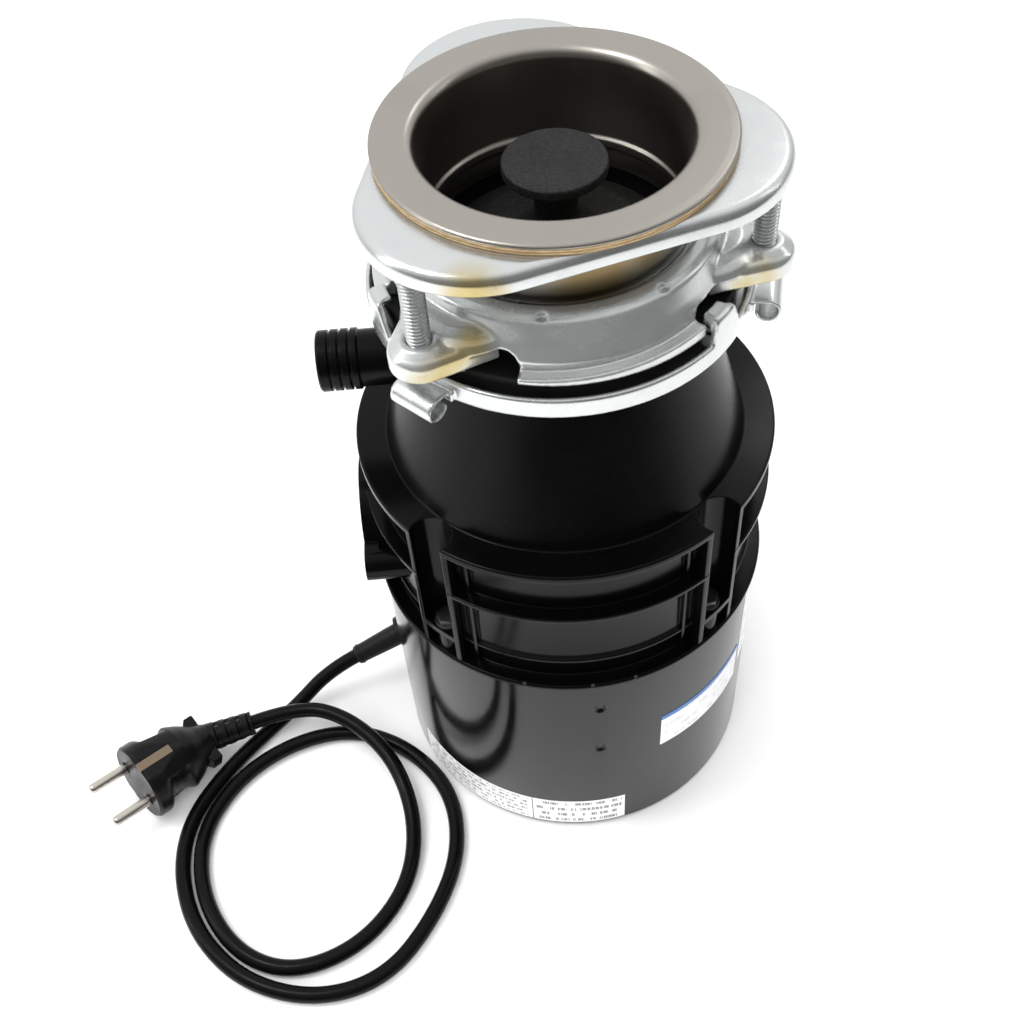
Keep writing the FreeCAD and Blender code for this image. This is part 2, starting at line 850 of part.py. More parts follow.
def build_ramp(start):
    """A ramp on the ring's flange, rising steadily over the arc between two ears."""
    sweep = 120.0 - dims.window_left.value - dims.window_right.value
    top = dims.flange_top + dims.ramp_rise
    outer = dims.flange_radius - 0.1
    stock = ring_sector(dims.skirt_radius - 1, outer, dims.flange_top - 0.5, top, start, sweep)
    half = number(outer) * math.sin(math.radians(sweep / 2))
    lean = math.degrees(math.atan2(number(dims.ramp_rise), 2 * half))
    cutter = doc.addObject("Part::Box", "ramp_cutter")
    cutter.Length = 60
    cutter.Width = 160
    cutter.Height = 30
    middle = FreeCAD.Rotation(UP, start + sweep / 2)
    tilt = FreeCAD.Rotation(VECTOR(1, 0, 0), lean)
    centre = VECTOR(0, 0, number(dims.flange_top + dims.ramp_rise / 2))
    base = centre + middle.multVec(tilt.multVec(VECTOR(20, -80, 0)))
    cutter.Placement = FreeCAD.Placement(base, middle.multiply(tilt))
    return cut(stock, cutter)


def build_lower_mounting_ring():
    inner_wall = dims.lower_outer - dims.lower_wall
    floor_top = dims.lower_bottom + dims.lower_floor
    points = [
        (dims.lower_inner, dims.lower_bottom),
        (dims.lower_outer, dims.lower_bottom),
        (dims.lower_outer, dims.lower_top),
        (inner_wall, dims.lower_top),
        (inner_wall, floor_top),
        (dims.lower_inner, floor_top),
    ]
    rounds = [
        (dims.lower_outer, dims.lower_bottom, 1.2),
        (dims.lower_outer, dims.lower_top, 0.9),
        (inner_wall, dims.lower_top, 0.9),
    ]
    pieces = [turned(points, rounds)]
    lugs = []
    around = cylinder(dims.lower_outer, dims.lower_bottom - 1, dims.lower_top + 1)
    for angle in mount_angles():
        first = angle - dims.hook_lead.value
        pieces.append(ring_sector(
            inner_wall, dims.lower_outer - 0.1, dims.lower_top - 2, dims.hook_lip_top, first, dims.hook_sweep.value))
        pieces.append(ring_sector(
            dims.hook_lip_inner, dims.lower_outer - 0.2, dims.hook_lip_bottom, dims.hook_lip_top,
            first, dims.hook_sweep.value))
        strap = radial_block(
            dims.lower_outer - 1.5, dims.lug_distance, dims.lug_length, dims.lower_bottom + 2.2,
            dims.lower_bottom + 4.2, angle)
        roll = tangent_rod(dims.lug_radius, dims.lug_length, angle)
        bore = tangent_rod(dims.lug_bore, dims.lug_length + 2, angle)
        slit = radial_block(
            dims.lug_distance - dims.lug_slit / 2, dims.lug_distance + dims.lug_slit / 2,
            dims.lug_length + 2, dims.lower_bottom - dims.lug_radius - 1, dims.lower_bottom, angle)
        lugs.append(cut(fuse(strap, roll), bore, slit, around))
    part("lower_mounting_ring", fuse(*pieces))
    part("turning_lugs", group(*lugs))


def tangent_rod(radius, length, angle):
    """A rod across the radius at a lug of the lower ring."""
    item = doc.addObject("Part::Cylinder", "tangent_rod")
    bind(item, "Radius", radius)
    bind(item, "Height", length)
    across = FreeCAD.Rotation(UP, angle).multiply(FreeCAD.Rotation(VECTOR(1, 0, 0), -90))
    start = polar(dims.lug_distance, angle, dims.lower_bottom) - across.multVec(UP) * (number(length) / 2)
    item.Placement = FreeCAD.Placement(start, across)
    return item


# ---------------------------------------------------------------- throat parts

def build_mounting_gasket():
    points = [
        (dims.gasket_throat, dims.neck_top),
        (dims.neck_lip_radius + 0.3, dims.neck_top),
        (dims.neck_lip_radius + 0.3, dims.gasket_bottom),
        (dims.gasket_outer, dims.gasket_bottom),
        (dims.gasket_outer, dims.gasket_top),
        (dims.gasket_tube_outer + 1, dims.gasket_top),
        (dims.gasket_tube_outer, dims.gasket_tube_top),
        (dims.gasket_tube_inner, dims.gasket_tube_top),
        (dims.gasket_tube_inner, dims.gasket_ledge),
        (dims.gasket_throat, dims.gasket_ledge),
    ]
    part("mounting_gasket", turned(points, [(dims.gasket_outer, dims.gasket_top, 1.5)]))


def build_splash_baffle():
    top = dims.gasket_ledge + dims.baffle_thickness
    sag = dims.gasket_ledge - dims.baffle_drop
    points = [
        (dims.gasket_throat, dims.gasket_ledge),
        (dims.baffle_outer, dims.gasket_ledge),
        (dims.baffle_outer, top),
        (dims.gasket_throat - 1, top),
        (dims.baffle_hole, sag + dims.baffle_thickness),
        (dims.baffle_hole, sag),
    ]
    slits = []
    for turn in range(BAFFLE_SLITS):
        slits.append(radial_block(
            dims.baffle_hole - 4, dims.gasket_throat - 3, dims.baffle_slit, sag - 2, top + 2,
            turn * FULL_TURN / BAFFLE_SLITS))
    part("splash_baffle", cut(turned(points), *slits))


def build_stopper():
    seat = dims.seal_top
    neck_top = dims.knob_top - dims.knob_thickness
    dome = [
        (dims.dome_bore, seat),
        (dims.dome_radius, seat),
        (dims.dome_radius, seat + 2),
        (dims.dome_radius - 9, dims.dome_top - 1.6),
        (dims.stopper_neck + 6, dims.dome_top + 1.4),
        (dims.stopper_neck, dims.dome_top + 8),
        (dims.stopper_neck, neck_top - 3),
        (dims.knob_radius - 1, neck_top),
        (dims.knob_radius, neck_top + 1.2),
        (dims.knob_radius, dims.knob_top),
        (0.0, dims.knob_top),
        (0.0, dims.dome_top - 2),
        (dims.dome_bore, dims.dome_top - 2),
    ]
    rounds = [
        (dims.stopper_neck + 6, dims.dome_top + 1.4, 8.0),
        (dims.dome_radius - 9, dims.dome_top - 1.6, 5.0),
        (dims.knob_radius, dims.knob_top, 0.7),
    ]
    part("stopper_body", turned(dome, rounds))
    points = [
        (dims.dome_bore, dims.seal_bottom + 1.2),
        (dims.seal_radius - 3, dims.seal_bottom),
        (dims.seal_radius, dims.seal_bottom + 0.6),
        (dims.seal_radius, seat - 1.2),
        (dims.seal_radius - 3, seat),
        (dims.dome_bore, seat),
    ]
    part("stopper_seal", turned(points))


# ---------------------------------------------------------------- waste container

def cone_radius(height):
    """The radius of the container's outer cone at a height."""
    share = (height - number(dims.shoulder_top)) / number(dims.cone_top - dims.shoulder_top)
    return number(dims.cone_base_radius) + share * number(dims.neck_radius - dims.cone_base_radius)


def build_container():
    inner_wall = dims.wall_radius - dims.wall_thickness
    inner_base = dims.cone_base_radius - dims.cone_wall
    points = [
        (inner_wall, dims.container_bottom),
        (dims.foot_radius - dims.edge_break, dims.container_bottom),
        (dims.foot_radius, dims.container_bottom + dims.edge_break),
        (dims.foot_radius, dims.foot_top - dims.edge_break),
        (dims.foot_radius - dims.edge_break, dims.foot_top),
        (dims.wall_radius, dims.foot_top),
        (dims.wall_radius, dims.bead_low),
        (dims.bead_radius, dims.bead_low + dims.edge_break),
        (dims.bead_radius, dims.bead_high - dims.edge_break),
        (dims.wall_radius, dims.bead_high),
        (dims.wall_radius, dims.rib_bottom),
        (dims.rib_radius, dims.rib_bottom),
        (dims.rib_radius, dims.rib_top),
        (dims.wall_radius, dims.rib_top),
        (dims.wall_radius, dims.shoulder_bottom),
        (dims.shoulder_radius, dims.shoulder_bottom),
        (dims.shoulder_radius, dims.shoulder_top - dims.edge_break),
        (dims.shoulder_radius - dims.edge_break, dims.shoulder_top),
        (dims.cone_base_radius, dims.shoulder_top),
        (dims.neck_radius, dims.cone_top),
        (dims.neck_radius, dims.neck_lip_bottom),
        (dims.neck_lip_radius, dims.neck_lip_bottom),
        (dims.neck_lip_radius, dims.neck_top),
        (dims.throat_radius, dims.neck_top),
        (dims.throat_radius, dims.cone_top),
        (inner_base, dims.shoulder_top),
        (inner_base, dims.shoulder_bottom),
        (inner_wall, dims.shoulder_bottom),
    ]
    adds = [turned(points)]
    cuts = []
    for angle in channel_angles():
        add_bolt_channel(adds, cuts, angle)
    add_outlet(adds, cuts)
    add_inlet(cuts)
    for angle in FOOT_NOTCH_ANGLES:
        cuts.append(radial_block(
            dims.foot_radius - FOOT_NOTCH_SIZE, dims.foot_radius + 1, FOOT_NOTCH_SIZE,
            dims.container_bottom - 1, dims.foot_top + 1, angle))
    whole = cut(fuse(*adds), *cuts)
    above = cylinder(dims.foot_radius * 2, dims.shoulder_top, dims.neck_top + 1)
    part("container_body", cut(whole, above))
    part("container_cone", common(whole, above))


def add_bolt_channel(adds, cuts, angle):
    """One half-pipe down the container's side, with a ledge for a bolt and ribs beside it."""
    outline = cylinder(dims.shoulder_radius, dims.container_bottom, dims.shoulder_bottom + 1)
    pipe = cylinder(
        dims.channel_radius + dims.channel_wall, dims.container_bottom, dims.shoulder_bottom + 1,
        dims.channel_distance, angle)
    adds.append(common(outline, pipe))
    for side in (-1, 1):
        adds.append(radial_block(
            dims.wall_radius - 1, dims.shoulder_radius, dims.channel_rib_thickness,
            dims.foot_top - 1, dims.shoulder_bottom + 1, angle + side * dims.channel_rib_angle.value))
        adds.append(radial_block(
            dims.wall_radius - 1, dims.short_rib_radius, dims.channel_rib_thickness,
            dims.foot_top - 1, dims.shoulder_bottom + 1, angle + side * dims.short_rib_angle.value))
    cuts.append(cylinder(
        dims.channel_radius, dims.channel_floor, dims.shoulder_top + 2, dims.channel_distance, angle))
    under = dims.channel_floor - dims.ledge_thickness
    below = cylinder(
        dims.channel_radius, dims.foot_top, under, dims.channel_distance, angle)
    boss = cylinder(
        dims.bolt_boss_radius, dims.foot_top - 1, under + 1, dims.bolt_distance, angle)
    cuts.append(cut(below, boss))
    cuts.append(cylinder(
        dims.bolt_radius + 0.2, dims.container_bottom - 1, dims.channel_floor + 1, dims.bolt_distance, angle))


def add_outlet(adds, cuts):
    """The waste outlet on the left: a boss with a bore and two screw bosses for the pipe's flange."""
    stock_start = dims.liner_outer - 9
    liner_space = cylinder(dims.liner_outer, dims.container_bottom - 1, dims.shoulder_bottom)
    height = dims.outlet_height
    half = dims.outlet_screw_spacing / 2
    boss = rod(dims.outlet_boss, stock_start, dims.outlet_end, 0.0, height)
    web = block(
        (-dims.outlet_end, -half, height - dims.outlet_web),
        (-(dims.outlet_end - 6), half, height + dims.outlet_web))
    lugs = [rod(dims.outlet_screw_boss, dims.liner_outer - 2, dims.outlet_end, side, height) for side in (-half, half)]
    adds.append(cut(fuse(boss, web, *lugs), liner_space))
    cuts.append(rod(dims.outlet_bore, stock_start - 5, dims.outlet_end + 1, 0.0, height))
    for side in (-half, half):
        depth = dims.outlet_end - dims.outlet_screw_depth
        cuts.append(rod(dims.outlet_screw_bore, depth, dims.outlet_end + 1, side, height))


def add_inlet(cuts):
    """The barbed dishwasher inlet on the left of the cone, and the hole that its stem fills."""
    height = dims.inlet_height
    start = dims.throat_radius + 2
    barb_start = dims.inlet_end - dims.inlet_barb_length
    stem = rod(dims.inlet_radius, start, dims.inlet_end - 1, 0.0, height)
    barb = rod(dims.inlet_barb_radius, barb_start, dims.inlet_end, 0.0, height)
    grooves = []
    for index in range(GROOVES_ON_INLET):
        place = barb_start + dims.inlet_groove_pitch * (index + 0.6)
        outer = rod(dims.inlet_barb_radius + 1, place, place + dims.inlet_groove_width, 0.0, height)
        core = rod(dims.inlet_barb_radius - dims.inlet_groove_depth, place - 1, place + 3, 0.0, height)
        grooves.append(cut(outer, core))
    hollow = doc.addObject("Part::Cone", "hollow")
    bind(hollow, "Radius1", dims.cone_base_radius - dims.cone_wall)
    bind(hollow, "Radius2", dims.throat_radius)
    bind(hollow, "Height", dims.cone_top - dims.shoulder_top)
    bind(hollow, "Placement.Base.z", dims.shoulder_top)
    bore = rod(dims.inlet_bore, start - 10, dims.inlet_end + 1, 0.0, height)
    part("inlet_stem", cut(fuse(stem, barb), hollow, bore, *grooves))
    cuts.append(rod(dims.inlet_radius, start - 10, dims.inlet_end, 0.0, height))


def build_container_bolts():
    bolts = []
    for angle in channel_angles():
        floor = dims.channel_floor
        head = hexagon(dims.bolt_head_flats, floor, floor + dims.bolt_head_height, dims.bolt_distance, angle)
        flange = cylinder(dims.bolt_flange_radius, floor, floor + 1.2, dims.bolt_distance, angle)
        shank = cylinder(
            dims.bolt_radius, dims.container_bottom - dims.bolt_depth, floor + 1, dims.bolt_distance, angle)
        bolts.append(fuse(head, flange, shank))
    part("container_bolts", group(*bolts))


def build_grind_chamber():
    inner = dims.liner_outer - dims.liner_wall
    tube = ring(inner, dims.liner_outer, dims.liner_bottom, dims.shoulder_bottom)
    hole = rod(dims.outlet_bore, dims.liner_outer - 16, dims.liner_outer + 5, 0.0, dims.outlet_height)
    part("grind_chamber_liner", cut(tube, hole))
    rim = ring(dims.shredder_inner, dims.shredder_outer, dims.shredder_bottom, dims.shredder_top)
    outlet_gap = rod(
        dims.outlet_bore, dims.liner_outer - 16, dims.liner_outer + 5, 0.0, dims.outlet_height)
    slots = []
    for turn in range(SHREDDER_SLOTS):
        slots.append(radial_block(
            dims.shredder_inner - 1, dims.shredder_inner + 1.6, dims.shredder_slot,
            dims.shredder_bottom - 1, dims.shredder_slot_top, turn * FULL_TURN / SHREDDER_SLOTS))
    part("shredder_ring", cut(rim, outlet_gap, *slots))


# ---------------------------------------------------------------- motor

def build_frames_and_bearings():
    points = [
        (dims.upper_bearing_radius, dims.upper_frame_bottom),
        (dims.frame_radius, dims.upper_frame_bottom),
        (dims.frame_radius, dims.container_bottom),
        (dims.liner_outer, dims.container_bottom),
        (dims.liner_outer, dims.spigot_top),
        (dims.hub_outer + 6, dims.spigot_top),
        (dims.hub_outer, dims.spigot_top + 8),
        (dims.hub_outer, dims.hub_top),
        (dims.seal_bore, dims.hub_top),
        (dims.seal_bore, dims.shaft_seal_bottom),
        (dims.upper_bearing_radius, dims.shaft_seal_bottom),
    ]
    holes = []
    for angle in channel_angles():
        holes.append(cylinder(
            dims.bolt_radius, dims.container_bottom - dims.bolt_depth, dims.container_bottom + 1,
            dims.bolt_distance, angle))
    part("upper_end_frame", cut(turned(points), *holes))
    part("upper_bearing", ring(
        dims.bearing_bore, dims.upper_bearing_radius, dims.upper_bearing_bottom, dims.shaft_seal_bottom))
    part("shaft_seal", ring(
        dims.shaft_seal_bore, dims.seal_bore, dims.shaft_seal_bottom, dims.hub_top))
    build_lower_end_frame()
    part("lower_bearing", ring(
        dims.bearing_bore, dims.lower_bearing_radius, dims.lower_frame_top, dims.lower_hub_top))
    part("thrust_washer", ring(
        dims.bearing_bore, dims.washer_outer, dims.lower_hub_top, dims.lower_hub_top + dims.washer_thickness))


def build_lower_end_frame():
    points = [
        (dims.access_radius, dims.shell_wall),
        (dims.frame_radius - 2, dims.shell_wall),
        (dims.frame_radius, dims.shell_wall + 2),
        (dims.frame_radius, dims.lower_frame_top),
        (dims.lower_hub_outer, dims.lower_frame_top),
        (dims.lower_hub_outer, dims.lower_hub_top),
        (dims.lower_bearing_radius, dims.lower_hub_top),
        (dims.lower_bearing_radius, dims.lower_frame_top),
        (dims.access_radius, dims.lower_frame_top),
    ]
    half = dims.wiring_box_width / 2
    box_end = dims.wiring_box_x + dims.wiring_box_length
    wiring_box = block((dims.wiring_box_x, -half, dims.shell_wall - 1), (box_end, half, dims.wiring_box_top))
    button = cylinder(
        dims.button_bore, dims.shell_wall - 1, dims.lower_frame_top + 1, dims.button_distance, dims.button_angle)
    ground = upright_at(
        dims.ground_screw_radius - 1.2, dims.shell_wall - 1, dims.lower_frame_top - 2,
        dims.ground_screw_x, dims.ground_screw_y)
    cover_screw = upright_at(
        dims.cover_screw_radius - 1.5, dims.shell_wall - 1, dims.lower_frame_top - 1,
        box_end + dims.cover_margin / 2 + 2, 0.0)
    part("lower_end_frame", cut(turned(points), wiring_box, button, ground, cover_screw))
    margin = dims.cover_margin
    cover_bottom = dims.shell_wall - dims.cover_thickness
    plate = block(
        (dims.wiring_box_x - margin, -half - margin, cover_bottom),
        (box_end + margin + 4, half + margin, dims.shell_wall))
    screw_x = box_end + margin / 2 + 2
    seat = upright_at(dims.cover_screw_radius, cover_bottom - 1, dims.shell_wall + 1, screw_x, 0.0)
    part("wiring_cover", cut(plate, seat))
    head = upright_at(dims.cover_screw_radius, cover_bottom, dims.shell_wall, screw_x, 0.0)
    shank = upright_at(dims.cover_screw_radius - 1.5, cover_bottom, dims.lower_frame_top - 1, screw_x, 0.0)
    slot = block((screw_x - 5, -0.4, cover_bottom - 1), (screw_x + 5, 0.4, cover_bottom + 0.4))
    part("cover_screw", cut(fuse(head, shank), slot))
    ground_head = hexagon_at(
        dims.ground_screw_radius * 2, cover_bottom, dims.shell_wall, dims.ground_screw_x, dims.ground_screw_y)
    ground_shank = upright_at(
        dims.ground_screw_radius - 1.2, cover_bottom, dims.lower_frame_top - 2,
        dims.ground_screw_x, dims.ground_screw_y)
    part("ground_screw", fuse(ground_head, ground_shank))


def upright_at(radius, bottom, top, x, y):
    item = cylinder(radius, bottom, top)
    bind_place(item, x, y)
    return item


def hexagon_at(flats, bottom, top, x, y):
    item = hexagon(flats, bottom, top)
    bind_place(item, x, y)
    return item


def bind_place(item, x, y):
    base = item.Placement.Base
    item.Placement.Base = VECTOR(number(x), number(y), base.z)
    bind(item, "Placement.Base.x", x)
    bind(item, "Placement.Base.y", y)


def build_motor_shell():
    inner = dims.shell_radius - dims.shell_wall
    points = [
        (dims.shell_lip, 0.0),
        (dims.shell_radius, 0.0),
        (dims.shell_radius, dims.container_bottom),
        (inner, dims.container_bottom),
        (inner, dims.shell_wall),
        (dims.shell_lip, dims.shell_wall),
    ]
    rounds = [
        (inner, dims.shell_wall, dims.shell_round - dims.shell_wall),
        (dims.shell_radius, 0.0, dims.shell_round),
    ]
    shell = turned(points, rounds)
    dimples = []
    for height in (dims.dimple_high, dims.dimple_low):
        ball = doc.addObject("Part::Sphere", "dimple")
        bind(ball, "Radius", dims.dimple_sphere)
        centre = dims.shell_radius + dims.dimple_sphere - dims.dimple_depth
        dimples.append(place_polar(ball, centre, dims.dimple_angle, height))
    return cut(shell, *dimples)


def build_stator_and_rotor():
    slots = []
    for turn in range(STATOR_SLOTS):
        slots.append(radial_block(
            dims.slot_inner, dims.slot_outer, dims.slot_width, dims.stator_bottom - 1, dims.stator_top + 1,
            turn * FULL_TURN / STATOR_SLOTS))
    core = ring(dims.stator_bore, dims.frame_radius, dims.stator_bottom, dims.stator_top)
    part("stator_core", cut(core, *slots))
    part("upper_winding", winding(dims.stator_top, dims.stator_top + dims.winding_height))
    part("lower_winding", winding(dims.stator_bottom - dims.winding_height, dims.stator_bottom))
    part("rotor_core", ring(dims.shaft_radius, dims.rotor_radius, dims.stator_bottom, dims.stator_top))
    part("rotor_end_rings", group(
        ring(dims.cage_inner, dims.cage_outer, dims.stator_top, dims.stator_top + dims.cage_height),
        ring(dims.cage_inner, dims.cage_outer, dims.stator_bottom - dims.cage_height, dims.stator_bottom)))


def winding(bottom, top):
    """One bundle of end turns, bulging over the stator's slots."""
    points = [
        (dims.slot_inner + 2, bottom),
        (dims.winding_outer - 2, bottom),
        (dims.winding_outer, bottom + 3),
        (dims.winding_outer, top - 3),
        (dims.winding_outer - 2, top),
        (dims.slot_inner + 2, top),
        (dims.slot_inner, top - 3),
        (dims.slot_inner, bottom + 3),
    ]
    return turned(points)


def build_shaft_and_turntable():
    body = cylinder(dims.shaft_radius, dims.shaft_bottom, dims.turntable_top)
    thread = cylinder(dims.thread_radius, dims.turntable_top - 1, dims.shaft_top)
    socket = hexagon(dims.wrench_flats, dims.shaft_bottom - 1, dims.shaft_bottom + dims.wrench_depth)
    part("rotor_shaft", cut(fuse(body, thread), socket))
    points = [
        (dims.shaft_radius, dims.hub_bottom),
        (dims.hub_radius, dims.hub_bottom),
        (dims.hub_radius, dims.turntable_bottom),
        (dims.turntable_radius, dims.turntable_bottom),
        (dims.turntable_radius, dims.turntable_top),
        (dims.shaft_radius, dims.turntable_top),
    ]
    holes = []
    rivets = []
    for angle in (0.0, 180.0):
        holes.append(cylinder(
            dims.rivet_radius, dims.turntable_bottom - 1, dims.turntable_top + 1, dims.pivot_distance, angle))
        rivets.append(rivet(angle))
    part("turntable", cut(turned(points), *holes))
    part("impeller_rivets", group(*rivets))
    nut = hexagon(dims.nut_flats, dims.turntable_top, dims.turntable_top + dims.nut_height)
    bore = cylinder(dims.thread_radius, dims.turntable_top - 1, dims.turntable_top + dims.nut_height + 1)
    part("turntable_nut", cut(nut, bore))


def rivet(angle):
    head_bottom = dims.impeller_bottom + dims.impeller_thickness + dims.impeller_gap
    shank = cylinder(dims.rivet_radius, dims.turntable_bottom, head_bottom + 1, dims.pivot_distance, angle)
    head = cylinder(
        dims.rivet_head_radius, head_bottom, head_bottom + dims.rivet_head_height, dims.pivot_distance, angle)
    return fuse(shank, head)


def build_impellers():
    top = dims.impeller_bottom + dims.impeller_thickness
    toe = dims.pivot_distance + dims.impeller_reach
    for index, angle in enumerate((0.0, 180.0), start=1):
        circles = [
            (dims.pivot_distance, angle, dims.impeller_eye_radius),
            (toe, angle, dims.impeller_toe_radius),
        ]
        plate, pad = hull_body(circles, dims.impeller_bottom, top)
        lug = radial_block(
            toe - 0.5, toe + 3.5, dims.impeller_lug_width, top - 1, top + dims.impeller_lug_height, angle)
        bore = cylinder(
            dims.impeller_bore, dims.impeller_bottom - 1, top + 1, dims.pivot_distance, angle)
        part("impeller_%d" % index, cut(fuse(plate, lug), bore))


def build_protector_and_relay():
    angle = dims.button_angle
    low = dims.lower_frame_top
    half = dims.protector_depth / 2
    body = radial_block(
        dims.button_distance - half, dims.button_distance + half, dims.protector_width, low,
        dims.protector_top, angle)
    bore = cylinder(dims.button_bore, low - 1, dims.protector_bore_top, dims.button_distance, angle)
    part("overload_protector", cut(body, bore))
    part("reset_button", cylinder(
        dims.button_radius, dims.button_bottom, dims.button_top, dims.button_distance, angle))
    part("start_relay", radial_block(
        dims.button_distance - half, dims.button_distance + half, dims.relay_width, low,
        dims.protector_top, dims.relay_angle))


def build_labels():
    outer = dims.shell_radius + dims.label_thickness
    bands = [
        ("rating_label_left", dims.band_bottom, dims.band_top, dims.band_start, dims.band_split - 0.3),
        ("rating_label_right", dims.band_bottom, dims.band_top, dims.band_split, dims.band_end),
        ("side_label", dims.side_label_bottom, dims.side_label_top, dims.side_label_start, dims.side_label_end),
        ("strip_label", dims.strip_bottom, dims.strip_top, dims.strip_start, dims.strip_end),
    ]
    for label, bottom, top, start, end in bands:
        sweep = number(end) - number(start)
        part(label, ring_sector(dims.shell_radius, outer, bottom, top, number(start), sweep))


# ---------------------------------------------------------------- cord and plug

def route_points():
    return [VECTOR(*point) for point in CORD_ROUTE]


def build_gland_and_shell():
    points = route_points()
    way_out = (points[1] - points[0]).normalize()
    length = dims.gland_flange_length + dims.gland_sleeve_length
    flange = axial(dims.gland_flange_radius, 0.0, dims.gland_flange_length)
    sleeve = axial(
        dims.gland_sleeve_radius, dims.gland_flange_length - 0.5, length, end_radius=dims.gland_tip_radius)
    gland = fuse(flange, sleeve)
    gland.Placement = FreeCAD.Placement(
        points[0] - way_out * number(length), FreeCAD.Rotation(VECTOR(1, 0, 0), way_out))
    part("cord_strain_relief", gland)
    part("motor_shell", cut(build_motor_shell(), gland))


def cord_path(points):
    """Straight runs joined by tangent arcs, each arc as large as its two runs allow."""
    edges = []
    radii = []
    length = 0.0
    here = points[0]
    for before, corner, after in zip(points, points[1:], points[2:]):
        back = before - corner
        ahead = after - corner
        reach = CORD_CORNER_SHARE * min(back.Length, ahead.Length)
        back.normalize()
        ahead.normalize()
        turn = math.pi - back.getAngle(ahead)
        radius = reach / math.tan(turn / 2)
        first = corner + back * reach
        last = corner + ahead * reach
        inward = (back + ahead).normalize()
        centre = corner + inward * math.hypot(radius, reach)
        middle = centre - inward * radius
        edges.append(Part.LineSegment(here, first).toShape())
        edges.append(Part.Arc(first, middle, last).toShape())
        length += (first - here).Length + radius * turn
        radii.append(radius)
        here = last
    edges.append(Part.LineSegment(here, points[-1]).toShape())
    length += (points[-1] - here).Length
    return Part.Wire(edges), radii, length


def build_cord():
    points = route_points()
    path, radii, length = cord_path(points)
    start = points[0]
    section = Part.Wire([Part.Circle(start, points[1] - start, number(dims.cord_radius)).toShape()])
    tube = path.makePipeShell([section], True, False)
    expected = math.pi * number(dims.cord_radius) ** 2 * length
    print("cord length %.1f mm, arc radii %s" % (length, " ".join("%.0f" % radius for radius in radii)))
    print("cord volume %.0f mm3, section times length %.0f mm3" % (tube.Volume, expected))
    if abs(tube.Volume - expected) > 0.01 * expected:
        raise RuntimeError("the cord's tube is not whole")
    cord = doc.addObject("Part::Feature", "cord")
    cord.Shape = tube
    part("power_cord", cord)


def plug_placement():
    """The plug lies on the round edge of its face, rolled a little and rising towards its pins."""
    turn = FreeCAD.Rotation(UP, PLUG_HEADING)
    turn = turn.multiply(FreeCAD.Rotation(VECTOR(0, 1, 0), -PLUG_PITCH))
    turn = turn.multiply(FreeCAD.Rotation(VECTOR(1, 0, 0), PLUG_ROLL))
    back = number(dims.plug_head_length + dims.plug_neck_length)
    face = PLUG_NECK + turn.multVec(VECTOR(back, 0, 0))
    return FreeCAD.Placement(face, turn)


def build_plug():
    place = plug_placement()
    half_spacing = dims.pin_spacing / 2
    rim_start = -dims.plug_rim_length
    neck_start = -dims.plug_head_length
    neck_end = -(dims.plug_head_length + dims.plug_neck_length)
    flat = dims.plug_flat
    head = common(
        fuse(
            axial(dims.plug_face_radius, rim_start, 0.0),
            axial(dims.plug_head_back, neck_start, rim_start, end_radius=dims.plug_face_radius)),
        block((neck_start, -dims.plug_face_radius, -flat), (0.0, dims.plug_face_radius, flat)))
    neck = axial(dims.plug_neck_back, neck_end, neck_start, end_radius=dims.plug_head_back)
    ears = block(
        (neck_end + 1, -dims.ear_span, -dims.ear_half_height),
        (neck_end + 1 + dims.ear_length, dims.ear_span, dims.ear_half_height))
    pins = []
    pin_holes = []
    for side in (-half_spacing, half_spacing):
        shank_end = dims.pin_length - dims.pin_nose
        root = axial(dims.pin_root_radius, -dims.pin_root, dims.pin_neck, side)
        shank = axial(dims.pin_radius, dims.pin_neck, shank_end, side)
        nose = axial(dims.pin_radius, shank_end, dims.pin_length, side, end_radius=dims.pin_radius - 1.2)
        pins.append(fuse(root, shank, nose))
        pin_holes.append(axial(dims.pin_root_radius, -dims.pin_root, dims.pin_root, side))
    clips = []
    clip_slots = []
    half_width = dims.clip_width / 2
    for low, high in ((flat - dims.clip_thickness, flat), (-flat, -(flat - dims.clip_thickness))):
        clips.append(block((-dims.clip_length, -half_width, low), (0.0, half_width, high)))
        clip_slots.append(block((-dims.clip_length, -half_width, low), (0.0, half_width, high)))
    body = cut(fuse(head, neck, ears), *pin_holes, *clip_slots)
    for label, item in (
            ("plug_body", body), ("plug_pins", group(*pins)), ("plug_earth_clips", group(*clips))):
        item.Placement = place
        part(label, item)
    tail = route_points()[-1]
    way_in = (PLUG_NECK - tail).normalize()
    relief = group(axial(dims.relief_back, 0.0, dims.relief_length + 3, end_radius=dims.relief_front))
    relief.Placement = FreeCAD.Placement(tail, FreeCAD.Rotation(VECTOR(1, 0, 0), way_in))
    part("plug_strain_relief", cut(relief, body))


def check_document():
    """Stop if any object failed or any sub-part is not a sound solid."""
    doc.recompute()
    for item in doc.Objects:
        if "Invalid" in item.State or "Error" in item.State:
            raise RuntimeError("%s (%s) failed: %s" % (item.Name, item.Label, item.State))
    for label, item in subparts.items():
        shape = item.Shape
        if shape.isNull() or not shape.isValid() or not shape.Solids:
            raise RuntimeError(label + " is not a valid solid")


def write_parts():
    os.makedirs("parts", exist_ok=True)
    for label, item in sorted(subparts.items()):
        shape = item.Shape
        shape.exportStep("parts/%s.step" % label)
        box = shape.BoundBox
        print("%-22s %3d solids %9.0f mm3  x %7.1f %7.1f  y %7.1f %7.1f  z %6.1f %6.1f" % (
            label, len(shape.Solids), shape.Volume, box.XMin, box.XMax, box.YMin, box.YMax, box.ZMin, box.ZMax))
    print(len(subparts), "sub-parts")


